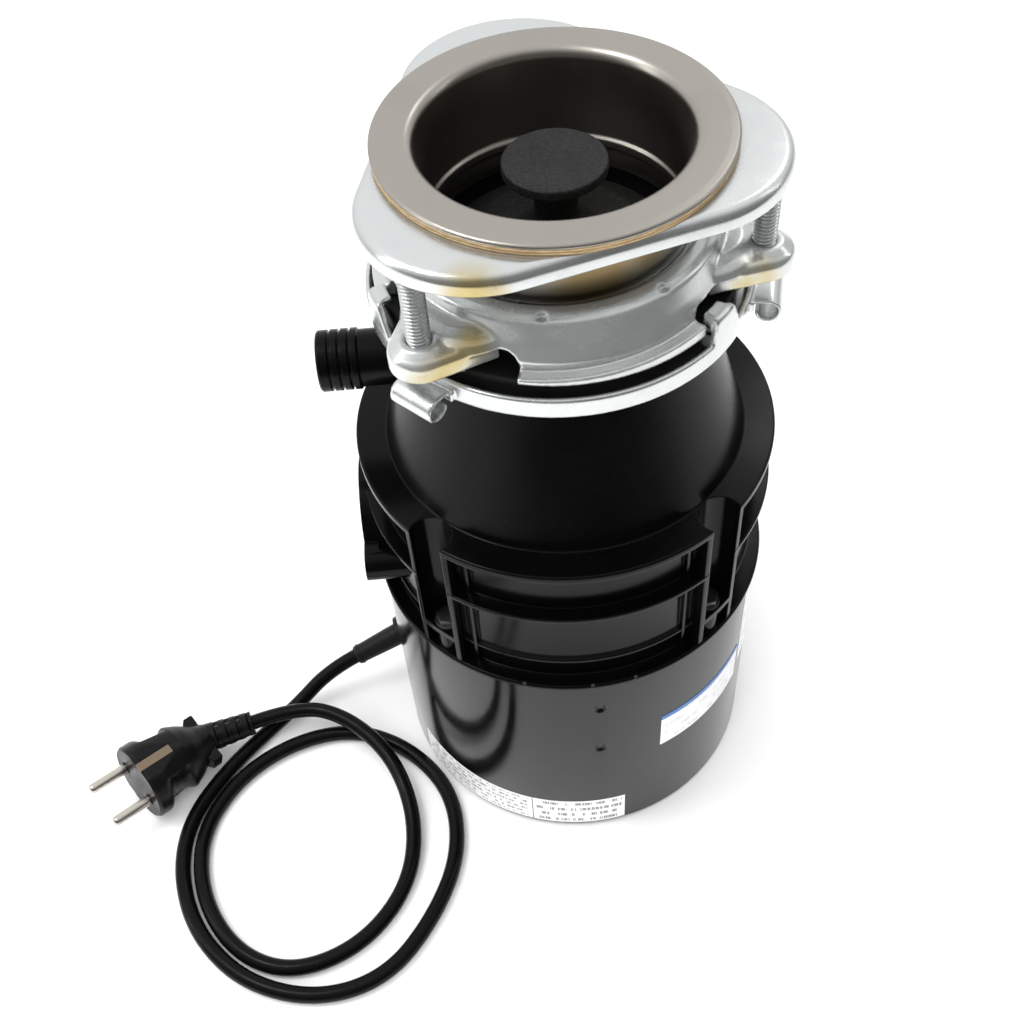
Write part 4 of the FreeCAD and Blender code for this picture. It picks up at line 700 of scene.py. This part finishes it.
def build_upper_ring():
    """The upper mounting ring, with three ears, windows through its wall and ramps on its flange."""
    profile = [
        (46.4, 283.2, 0.4), (49.4, 283.2, 1.0), (51.0, 281.6, 2.0), (53.2, 276.4, 3.0), (55.4, 271.4, 2.0),
        (55.4, 265.8, 0.3), (62.3, 265.8, 0.6), (62.3, 268.0, 0.7), (57.8, 268.0, 1.2), (57.8, 271.4, 3.0),
        (55.6, 277.0, 3.0), (53.4, 283.8, 1.5), (50.5, 285.4, 2.2), (46.4, 285.4, 0.9),
    ]
    ring = lathe("upper_ring", profile, sharp=40.0)
    windows = []
    ramps = []
    for angle in EAR_ANGLES:
        windows.append(window_cutter(angle, -33.0, -11.0))
        windows.append(window_cutter(angle, 11.0, 27.0))
        ramps.append(ramp_piece(angle + 27.0))
    combine(ring, ramps, "UNION", 40.0)
    combine(ring, windows, "DIFFERENCE", 40.0)
    core = upright("core", 54.4, 0, 0, 260.0, 290.0, RING_SEGMENTS)
    ears = []
    for angle in EAR_ANGLES:
        ears += ear_piece(angle)
    first = combine(ears[0], ears[1:], "UNION", 40.0)
    combine(first, [core], "DIFFERENCE", 40.0)
    combine(ring, [first], "UNION", 40.0)
    holes = [upright("hole", 4.05, *polar(SCREW_CIRCLE, angle), 260.0, 285.0, 40) for angle in EAR_ANGLES]
    for angle in (-100.0, -56.0, 20.0, 80.0, 150.0):
        holes.append(upright("crimp", 1.7, *polar(51.6, angle), 283.9, 292.0, 32))
    combine(ring, holes, "DIFFERENCE", 40.0)
    soften(ring, rounds=11)
    settle(ring, "upper_mounting_ring", material=zinc("zinc_upper_ring", STAINS_RING, metal=0.76))


def ramp_piece(start):
    """A ramp that climbs steadily over sixty degrees of the ring's flange."""
    loops = []
    for step in range(41):
        angle = start + 60.0 * step / 40
        top = 268.1 + 2.35 * step / 40
        section = [(57.0, 267.4), (62.2, 267.4), (62.2, top - 0.3), (61.9, top), (57.0, top)]
        loops.append([(*polar(radius, angle), height) for radius, height in section])
    return stack("ramp", loops)


def rolled_lug(angle):
    """A strap that runs out from the ring and rolls over, down and back under itself."""
    outer = 4.45
    inner = 3.2
    section = []
    for radius, turns in ((outer, range(29)), (inner, reversed(range(29)))):
        for step in turns:
            turn = math.radians(98.0 + 266.0 * step / 28)
            section.append((71.0 - radius * math.sin(turn), 255.0 + radius * math.cos(turn)))
    matrix = turned_about_z(angle)
    loops = [[tuple(matrix @ Vector((radius, side, height))) for radius, height in section]
             for side in (-8.5, -8.2, 8.2, 8.5)]
    lug = stack("lug", loops, sharp=50.0)
    strap = slab("strap", (63.8, -8.5, 258.15), (71.3, 8.5, 259.4), matrix)
    gusset = slab("gusset", (63.8, -10.0, 255.6), (66.2, 10.0, 259.4), matrix)
    return [lug, strap, gusset]


def hook(start):
    """A rolled hook that rises from the ring's wall and falls away over sixteen degrees."""
    loops = []
    for step in range(33):
        turn = 16.0 * step / 32
        rise = min(1.0, turn / 1.5) * min(1.0, max(0.0, (16.0 - turn) / 7.0))
        rise = rise * rise * (3 - 2 * rise)
        top = 262.4 + 10.6 * rise
        lip = 59.3 if turn < 9.0 else 63.0
        under = top - 2.0 if lip < 60 else top - 0.6
        wall = eased([(63.4, 259.0), (65.4, 259.0), (65.4, top, 2.4), (lip, top, 0.9), (lip, under, 0.9),
                      (63.4, under, 0.5)], 5)
        loops.append([(*polar(radius, start + turn), height) for radius, height in wall])
    return stack("hook", loops)


def build_lower_ring():
    profile = [
        (54.0, 255.0, 0.5), (65.5, 255.0, 1.2), (65.5, 263.0, 0.9), (63.4, 263.0, 0.9), (63.4, 256.8, 0.6),
        (54.0, 256.8, 0.5),
    ]
    ring = lathe("lower_ring", profile, sharp=40.0)
    parts = []
    for angle in EAR_ANGLES:
        parts.append(hook(angle - 33.0))
        parts += rolled_lug(angle)
    combine(ring, parts, "UNION", 40.0)
    soften(ring, 0.4, 7)
    settle(ring, "lower_mounting_ring", "turning_lugs")


def build_throat():
    gasket = [
        (39.0, 258.0), (52.3, 258.0), (52.3, 257.1), (60.5, 257.1, 0.8), (60.5, 265.5, 1.5),
        (48.5, 265.5, 1.0), (47.5, 279.0, 0.8), (45.0, 279.0, 0.8), (45.0, 262.5, 0.5), (39.0, 262.5, 0.5),
    ]
    settle(lathe("mount_rubber", gasket), "mounting_gasket")
    dome = [
        (10.0, 268.4), (38.0, 268.4, 0.6), (38.0, 270.4, 1.0), (29.0, 274.4, 6.0), (13.0, 277.4, 8.0),
        (7.0, 284.0, 6.0), (7.0, 296.8, 2.5), (15.8, 299.8, 0.8), (17.0, 300.6, 0.8), (17.0, 304.0, 0.7),
        (0.0, 304.0), (0.0, 274.0), (10.0, 274.0),
    ]
    settle(lathe("stopper", dome, 192), "stopper_body")
    seal = [
        (10.0, 265.6), (38.4, 264.4, 1.0), (41.4, 265.0, 0.5), (41.4, 267.2, 0.5), (38.4, 268.4, 0.8),
        (10.0, 268.4),
    ]
    settle(lathe("stopper_rubber", seal, 192), "stopper_seal")


# ---------------------------------------------------------------- container

def pipe_outline(angle, bottom, top, count=72):
    x, y = polar(76.0, angle)
    loop = []
    for index in range(count):
        turn = TURN * index / count
        point = Vector((x + 9.9 * math.cos(turn), y + 9.9 * math.sin(turn)))
        if point.length > 79.35:
            point *= 79.35 / point.length
        loop.append(point)
    return stack("pipe", [[(p.x, p.y, z) for p in loop] for z in (bottom, top)])


def build_container():
    """The moulded container: a lathed wall with bolt channels, ribs, waste outlet and dishwasher stem."""
    profile = [
        (70.7, 117.8), (79.3, 117.8), (80.0, 118.5, 0.3), (80.0, 119.9, 0.3), (79.3, 120.6, 0.3),
        (73.7, 120.6, 0.6), (73.7, 129.5, 0.4), (75.2, 130.2, 0.5), (75.2, 131.8, 0.5), (73.7, 132.5, 0.4),
        (73.7, 163.0, 0.5), (79.5, 163.0, 0.4), (79.5, 165.0, 0.4), (73.7, 165.0, 0.5), (73.7, 187.0, 0.6),
        (79.4, 187.0, 0.4), (79.4, 190.3, 0.9), (67.75, 190.3, 1.0), (50.0, 247.0, 1.5), (50.0, 253.0, 0.4),
        (52.0, 253.0, 0.4), (52.0, 258.0, 0.4), (46.5, 258.0, 0.4), (46.5, 247.0, 2.0), (64.35, 190.3, 2.0),
        (64.35, 187.0), (70.7, 187.0),
    ]
    body = lathe("container", profile, 288, sharp=28.0, steps=4)
    adds = []
    cuts = []
    for angle in CHANNEL_ANGLES:
        adds.append(pipe_outline(angle, 118.0, 188.0))
        for side in (-1, 1):
            by_channel = turned_about_z(angle + side * 6.5)
            adds.append(slab("rib", (72.5, -0.8, 119.0), (79.3, 0.8, 188.0), by_channel))
            further = turned_about_z(angle + side * 10.8)
            adds.append(slab("rib", (72.5, -0.7, 119.0), (75.6, 0.7, 188.0), further))
        x, y = polar(76.0, angle)
        cuts.append(upright("channel", 8.0, x, y, 135.0, 196.0, 72))
        below = upright("below", 8.0, x, y, 120.6, 132.0, 72)
        boss = upright("boss", 5.0, *polar(73.5, angle), 119.0, 134.0, 40)
        cuts.append(combine(below, [boss], "DIFFERENCE"))
        cuts.append(upright("bolt_hole", 2.7, *polar(73.5, angle), 110.0, 140.0, 32))
    adds += outlet_pieces()
    cuts.append(tube("outlet_bore", 19.0, (-50.0, 0, 143.0), (-90.0, 0, 143.0), 96))
    for side in (-28.0, 28.0):
        cuts.append(tube("screw_bore", 2.6, (-70.0, side, 143.0), (-90.0, side, 143.0), 32))
    adds.append(inlet_piece())
    cuts.append(tube("inlet_bore", 8.0, (-38.0, 0, 227.0), (-95.0, 0, 227.0), 64))
    for angle in (-107.7, -88.5, -76.2):
        cuts.append(slab("notch", (78.9, -0.7, 117.0), (81.0, 0.7, 121.5), turned_about_z(angle)))
    combine(body, adds, "UNION", 28.0)
    combine(body, cuts, "DIFFERENCE", 28.0)
    settle(body, "container_body", "container_cone", "inlet_stem")


def outlet_pieces():
    """The waste outlet's boss, web and screw bosses, cut clear of the chamber's liner."""
    liner = upright("liner_space", 66.0, 0, 0, 116.0, 187.5, RING_SEGMENTS)
    boss = tube("boss", 24.0, (-57.0, 0, 143.0), (-82.0, 0, 143.0), 128)
    web = slab("web", (-82.0, -28.0, 136.0), (-76.0, 28.0, 150.0))
    lugs = [tube("lug", 7.0, (-64.0, side, 143.0), (-82.0, side, 143.0), 48) for side in (-28.0, 28.0)]
    combine(boss, [web, *lugs], "UNION")
    return [combine(boss, [liner], "DIFFERENCE")]


def inlet_piece():
    """The dishwasher stem with its grooved barb, kept out of the cone's hollow."""
    section = [(48.5, 10.4), (72.0, 10.4), (72.5, 11.1)]
    for index in range(3):
        place = 72.5 + 3.6 * (index + 0.6)
        section += [(place, 11.1), (place + 0.1, 10.2), (place + 1.0, 10.2), (place + 1.1, 11.1)]
    section += [(86.3, 11.1), (87.0, 10.5)]
    loops = []
    for reach, radius in section:
        loops.append([(-reach, radius * math.cos(TURN * k / 96), 227.0 + radius * math.sin(TURN * k / 96))
                      for k in range(96)])
    stem = stack("stem", loops)
    hollow = tube("hollow", 64.3, (0, 0, 190.3), (0, 0, 247.0), 192, end_radius=46.6)
    return combine(stem, [hollow], "DIFFERENCE")


# ---------------------------------------------------------------- motor shell and labels

def build_shell():
    profile = [
        (72.0, 0.0, 0.3), (79.0, 0.0, 2.6), (79.0, 117.7), (77.8, 117.7), (77.8, 1.2, 1.4), (72.0, 1.2, 0.3),
    ]
    shell = lathe("shell", profile, 320, sharp=40.0, steps=8)
    dimples = []
    dent = ((3.2, 0.6), (2.9, 0.02), (2.2, -0.35), (1.7, -0.8), (1.2, -1.05), (0.2, -1.1))
    outwards = Matrix.Rotation(math.pi / 2, 4, "Y")
    for height in (101.0, 69.4):
        matrix = turned_about_z(-86.4) @ Matrix.Translation((79.0, 0, height)) @ outwards
        loops = [[tuple(matrix @ Vector(point)) for point in circle(radius, depth, 32)]
                 for radius, depth in dent]
        dimples.append(stack("dimple", loops))
    combine(shell, dimples, "DIFFERENCE", 14.0)
    settle(shell, "motor_shell")


def label_patch(name, node, start, end, bottom, top, material):
    """A thin label bent round the shell, with a flat map over it."""
    columns = 64
    inner = 79.01
    outer = 79.16
    verts = []
    faces = []
    for layer in (inner, outer):
        for z in (bottom, top):
            for index in range(columns + 1):
                verts.append((*polar(layer, start + (end - start) * index / columns), z))
    row = columns + 1
    for index in range(columns):
        a = 2 * row + index
        faces.append((a, a + 1, a + 1 + row, a + row))
        b = index
        faces.append((b, b + row, b + 1 + row, b + 1))
        faces.append((b, b + 1, a + 1, a))
        faces.append((b + row, a + row, a + 1 + row, b + 1 + row))
    for index in (0, columns):
        faces.append((index, index + row, index + 3 * row, index + 2 * row))
    patch = mesh_object(name, verts, faces)
    layer = patch.data.uv_layers.new(name="flat")
    for loop in patch.data.loops:
        point = patch.data.vertices[loop.vertex_index].co
        angle = math.degrees(math.atan2(point.y, point.x))
        across = (angle - start) / (end - start)
        layer.data[loop.index].uv = (across, (point.z / MM - bottom) / (top - bottom))
    settle(patch, node, material=material)


def build_labels():
    blue = (0.03, 0.16, 0.48)
    label_patch("label_left", "rating_label_left", -154.0, -108.9, 3.0, 23.0,
                printed("label_left_print", 6, 34))
    label_patch("label_right", "rating_label_right", -108.6, -78.5, 3.0, 23.0,
                printed("label_right_print", 4, 20))
    label_patch("label_side", "side_label", -67.0, -31.0, 57.0, 80.0,
                printed("label_side_print", 4, 9, ink=(0.45, 0.47, 0.52), band=(0.87, blue), strength=0.35))
    label_patch("label_strip", "strip_label", -29.0, -10.0, 64.0, 114.0,
                printed("label_strip_print", 14, 12, ink=(0.30, 0.30, 0.32), strength=0.6))


# ---------------------------------------------------------------- cord and plug

def frame_along(origin, axis):
    """A matrix whose X runs along an axis from an origin, with Z as near up as it can be."""
    x = Vector(axis).normalized()
    y = Vector((0, 0, 1)).cross(x).normalized()
    z = x.cross(y)
    return Matrix.Translation(origin) @ Matrix((x, y, z)).transposed().to_4x4()


def sleeve_loops(matrix, stations, radius_at, count=72):
    loops = []
    for x in stations:
        loop = []
        for k in range(count):
            turn = TURN * k / count
            radius = radius_at(x, turn)
            loop.append(tuple(matrix @ Vector((x, radius * math.cos(turn), radius * math.sin(turn)))))
        loops.append(loop)
    return loops


def build_gland():
    points = [Vector(point) / MM for point in CORD_ROUTE[:2]]
    axis = (points[1] - points[0]).normalized()
    matrix = frame_along(points[0] - axis * 33.0, axis)

    def radius_at(x, turn):
        if x < 9.0:
            return 8.0 - 0.5 * max(0.0, x - 8.5)
        lip = 0.45 * max(0.0, 1.0 - abs(x - 31.4) / 1.2)
        return 5.4 - 0.9 * (x - 9.0) / 24.0 + lip

    stations = [x * 0.25 for x in range(0, 133)]
    gland = stack("cord_gland", sleeve_loops(matrix, stations, radius_at), sharp=35.0)
    settle(gland, "cord_strain_relief")


def build_cord(with_pieces):
    curve = bpy.data.curves.new("mains_cord", "CURVE")
    curve.dimensions = "3D"
    spline = curve.splines.new("NURBS")
    spline.points.add(len(CORD_ROUTE) - 1)
    for point, place in zip(spline.points, CORD_ROUTE):
        point.co = (*place, 1)
    spline.order_u = 3
    spline.use_endpoint_u = True
    spline.resolution_u = 24
    curve.resolution_u = 24
    curve.bevel_depth = CORD_DIAMETER / 2
    curve.bevel_resolution = 8
    curve.use_fill_caps = True
    cord = make_object("mains_cord", curve)
    settle(cord, "power_cord")


def plug_matrix():
    yaw, pitch, roll = PLUG_TURN
    turn = (Matrix.Rotation(yaw, 4, "Z") @ Matrix.Rotation(-pitch, 4, "Y") @ Matrix.Rotation(roll, 4, "X"))
    face = PLUG_NECK + turn.to_3x3() @ Vector((PLUG_LENGTH, 0, 0))
    return Matrix.Translation(face) @ turn


def plug_section(x):
    stations = [(-38.0, 7.6), (-36.0, 8.4), (-32.0, 10.4), (-27.0, 13.6), (-22.0, 16.0), (-14.0, 17.4),
                (-8.0, 18.5), (0.0, 18.5)]
    for (first, low), (last, high) in zip(stations, stations[1:]):
        if first <= x <= last:
            return low + (high - low) * (x - first) / (last - first)
    return stations[-1][1]


def build_plug():
    """The plug's body with its scooped grips, finger wings, pin holes and earthing slots."""
    matrix = plug_matrix()

    def radius_at(x, turn):
        radius = plug_section(x)
        side = abs(math.cos(turn))
        scoop = 5.0 * math.exp(-((x + 14.0) / 5.6) ** 4) * max(0.0, (side - 0.62) / 0.38) ** 0.6
        flat = 16.8 / max(abs(math.sin(turn)), 0.05)
        radius = min(radius - scoop, flat)
        if x > -1.2:
            radius -= 0.9 * (x + 1.2) / 1.2
        return radius

    stations = [-38.0 + 0.4 * k for k in range(92)] + [-1.2, -0.8, -0.4, 0.0]
    body = stack("plug_head", sleeve_loops(matrix, stations, radius_at, 144), sharp=30.0)
    wings = []
    for side in (-1, 1):
        corners = [(-32.4, side * 5.0, 0.7), (-36.4, side * 5.0, 0.7), (-36.6, side * 12.3, 0.7),
                   (-33.2, side * 12.3, 0.7), (-27.5, side * 5.0, 0.7)]
        section = eased([(3.0, -4.5), (0.0, -4.5, 0.6), (0.0, 4.5, 0.6), (3.0, 4.5)], 4)
        loops = [hull_loop(corners, inset, height, 96) for inset, height in section if inset < 0.65]
        loops = [[tuple(matrix @ Vector(point)) for point in loop] for loop in loops]
        wings.append(stack("wing", loops))
    combine(body, wings, "UNION", 35.0)
    cuts = []
    for side in (-9.6, 9.6):
        inner_end = matrix @ Vector((-0.6, side, 0))
        outer_end = matrix @ Vector((2.0, side, 0))
        cuts.append(tube("pin_hole", 3.0, inner_end, outer_end, 40))
    for high in (1, -1):
        low_corner = (-17.4, -2.4, 15.95) if high > 0 else (-17.4, -2.4, -20.0)
        high_corner = (2.0, 2.4, 20.0) if high > 0 else (2.0, 2.4, -15.95)
        cuts.append(slab("clip_slot", low_corner, high_corner, matrix))
    combine(body, cuts, "DIFFERENCE", 35.0)
    settle(body, "plug_body")
    return [body, build_plug_relief(), build_pins(matrix), frame["nodes"]["plug_earth_clips"]]


def build_plug_relief():
    """The cord's sleeve at the plug, with staggered slots."""
    tail = Vector(CORD_ROUTE[-1]) / MM
    matrix = frame_along(tail, PLUG_NECK - tail)

    def radius_at(x, turn):
        radius = 5.6 + 1.4 * min(x, 22.0) / 22.0
        half = 0.0 if turn < math.pi else 2.6
        inside = 1.6 < x < 20.5 and (x - half) % 5.2 < 2.1
        slot = inside and 0.3 < turn % math.pi < math.pi - 0.3
        return radius - (2.1 if slot else 0.0)

    stations = [0.0, 0.2] + [0.4 + 0.25 * k for k in range(95)]
    relief = stack("plug_sleeve", sleeve_loops(matrix, stations, radius_at, 96), sharp=35.0)
    return settle(relief, "plug_strain_relief")


def build_pins(matrix):
    pins = []
    section = [(-7.5, 2.15), (0.5, 2.15), (0.6, 2.4), (17.2, 2.4), (18.0, 2.25), (18.6, 1.8), (18.9, 1.2),
               (19.0, 0.5)]
    for side in (-9.6, 9.6):
        shifted = matrix @ Matrix.Translation((0, side, 0))
        pins.append(stack("pin", sleeve_loops(shifted, [x for x, _ in section],
                                              lambda x, turn: dict(section)[x], 48), sharp=50.0))
    return settle(join("pins", pins), "plug_pins")


# ---------------------------------------------------------------- studio

def build_floor():
    """A white floor. Glossy surfaces see it fade to dark in front, as if a dark card stood there."""
    bpy.ops.mesh.primitive_plane_add(size=8.0, location=(0, 0, 0))
    floor = bpy.context.object
    floor.name = "floor"
    paint = Paint("floor_white", (0.94, 0.94, 0.94), 0.0, 0.8)
    paint.tint(paint.ramp(paint.noise(3.0, 2.0), 0.3, 0.8, 0.0, 0.3), (0.93, 0.93, 0.935))
    glossy = paint.node("ShaderNodeLightPath").outputs["Is Glossy Ray"]
    ahead = paint.node("ShaderNodeVectorMath", operation="DOT_PRODUCT")
    paint.link(paint.place(), ahead.inputs[0])
    ahead.inputs[1].default_value = DARK_WAY
    fade = paint.ramp(ahead.outputs["Value"], DARK_START, DARK_END)
    paint.tint(paint.math("MULTIPLY", glossy, fade), (0.02, 0.02, 0.02))
    floor.data.materials.append(paint.material)


def add_light(name, place, target, size, power, seen_in_gloss=True):
    light = bpy.data.lights.new(name, "AREA")
    light.shape = "RECTANGLE"
    light.size, light.size_y = size
    light.energy = power
    lamp = bpy.data.objects.new(name, light)
    lamp.location = place
    lamp.rotation_euler = (Vector(target) - Vector(place)).to_track_quat("-Z", "Y").to_euler()
    lamp.visible_glossy = seen_in_gloss
    bpy.context.scene.collection.objects.link(lamp)


def build_studio():
    """Soft lights under a sky that reflects bright behind and dim in front, and looks pale to the camera."""
    world = bpy.data.worlds.new("studio")
    bpy.context.scene.world = world
    world.use_nodes = True
    tree = world.node_tree
    background = tree.nodes["Background"]
    place = tree.nodes.new("ShaderNodeTexCoord")
    aim = tree.nodes.new("ShaderNodeVectorMath")
    aim.operation = "DOT_PRODUCT"
    aim.inputs[1].default_value = Vector((-0.15, 0.62, 0.77)).normalized()
    ramp = tree.nodes.new("ShaderNodeValToRGB")
    shift = tree.nodes.new("ShaderNodeMapRange")
    shift.inputs["From Min"].default_value = -1.0
    tree.links.new(place.outputs["Generated"], aim.inputs[0])
    tree.links.new(aim.outputs["Value"], shift.inputs["Value"])
    tree.links.new(shift.outputs["Result"], ramp.inputs[0])
    seen = tree.nodes.new("ShaderNodeLightPath")
    backdrop = tree.nodes.new("ShaderNodeMix")
    backdrop.data_type = "RGBA"
    backdrop.inputs[MIX_SECOND].default_value = (0.88, 0.88, 0.88, 1)
    tree.links.new(seen.outputs["Is Camera Ray"], backdrop.inputs[MIX_FACTOR])
    tree.links.new(ramp.outputs[0], backdrop.inputs[MIX_FIRST])
    tree.links.new(backdrop.outputs[MIX_RESULT], background.inputs["Color"])
    stops = ((0.0, 0.10), (0.45, 0.12), (0.62, 0.45), (0.78, 0.85), (1.0, 1.0))
    for position, value in stops[1:-1]:
        ramp.color_ramp.elements.new(position)
    for element, (position, value) in zip(ramp.color_ramp.elements, stops):
        element.position = position
        element.color = (value, value, value * 1.01, 1)
    background.inputs["Strength"].default_value = SKY
    add_light("overhead", (0, 0.1, 1.7), (0, 0, 0), (2.4, 2.4), 24, seen_in_gloss=False)
    add_light("front", (-0.4, -1.2, 0.8), (0, 0, 0.1), (1.0, 0.8), 9, seen_in_gloss=False)
    add_light("high_left", (-0.55, -0.05, 1.25), (0, 0, 0.3), (0.35, 0.35), 3.6)
    add_light("left_strip", (-1.2, -0.1, 0.7), (0, 0, 0.2), (0.2, 0.9), 2.0)
    add_light("right_strip", (1.1, 0.1, 0.8), (0, 0, 0.2), (0.1, 0.7), 0.6)
    add_light("back_right", (0.6, 0.85, 1.15), (0, 0, 0.3), (0.3, 0.3), 0.9)
    scene = bpy.context.scene
    scene.view_settings.view_transform = "Standard"
    scene.view_settings.look = "None"


def build_camera():
    camera = bpy.data.cameras.new("camera")
    camera.lens = 45.18
    camera.sensor_width = 36.0
    camera.clip_start = 0.01
    camera.clip_end = 20.0
    holder = bpy.data.objects.new("camera", camera)
    right = Vector((0.99604, -0.06879, -0.05628))
    up = Vector((0.08888, 0.77088, 0.63075))
    back = Vector((0.0, -0.63326, 0.77394))
    turn = Matrix((right, up, back)).transposed().to_4x4()
    holder.matrix_world = Matrix.Translation((-0.02298, -0.33833, 0.54584)) @ turn
    bpy.context.scene.collection.objects.link(holder)
    bpy.context.scene.camera = holder


build_camera()
build_floor()
build_studio()
build_sink_flange()
build_flange_gasket()
build_backup_plate()
build_screws()
build_upper_ring()
build_lower_ring()
build_throat()
build_container()
build_shell()
build_labels()
build_gland()
build_cord(build_plug())

bpy.context.view_layer.update()
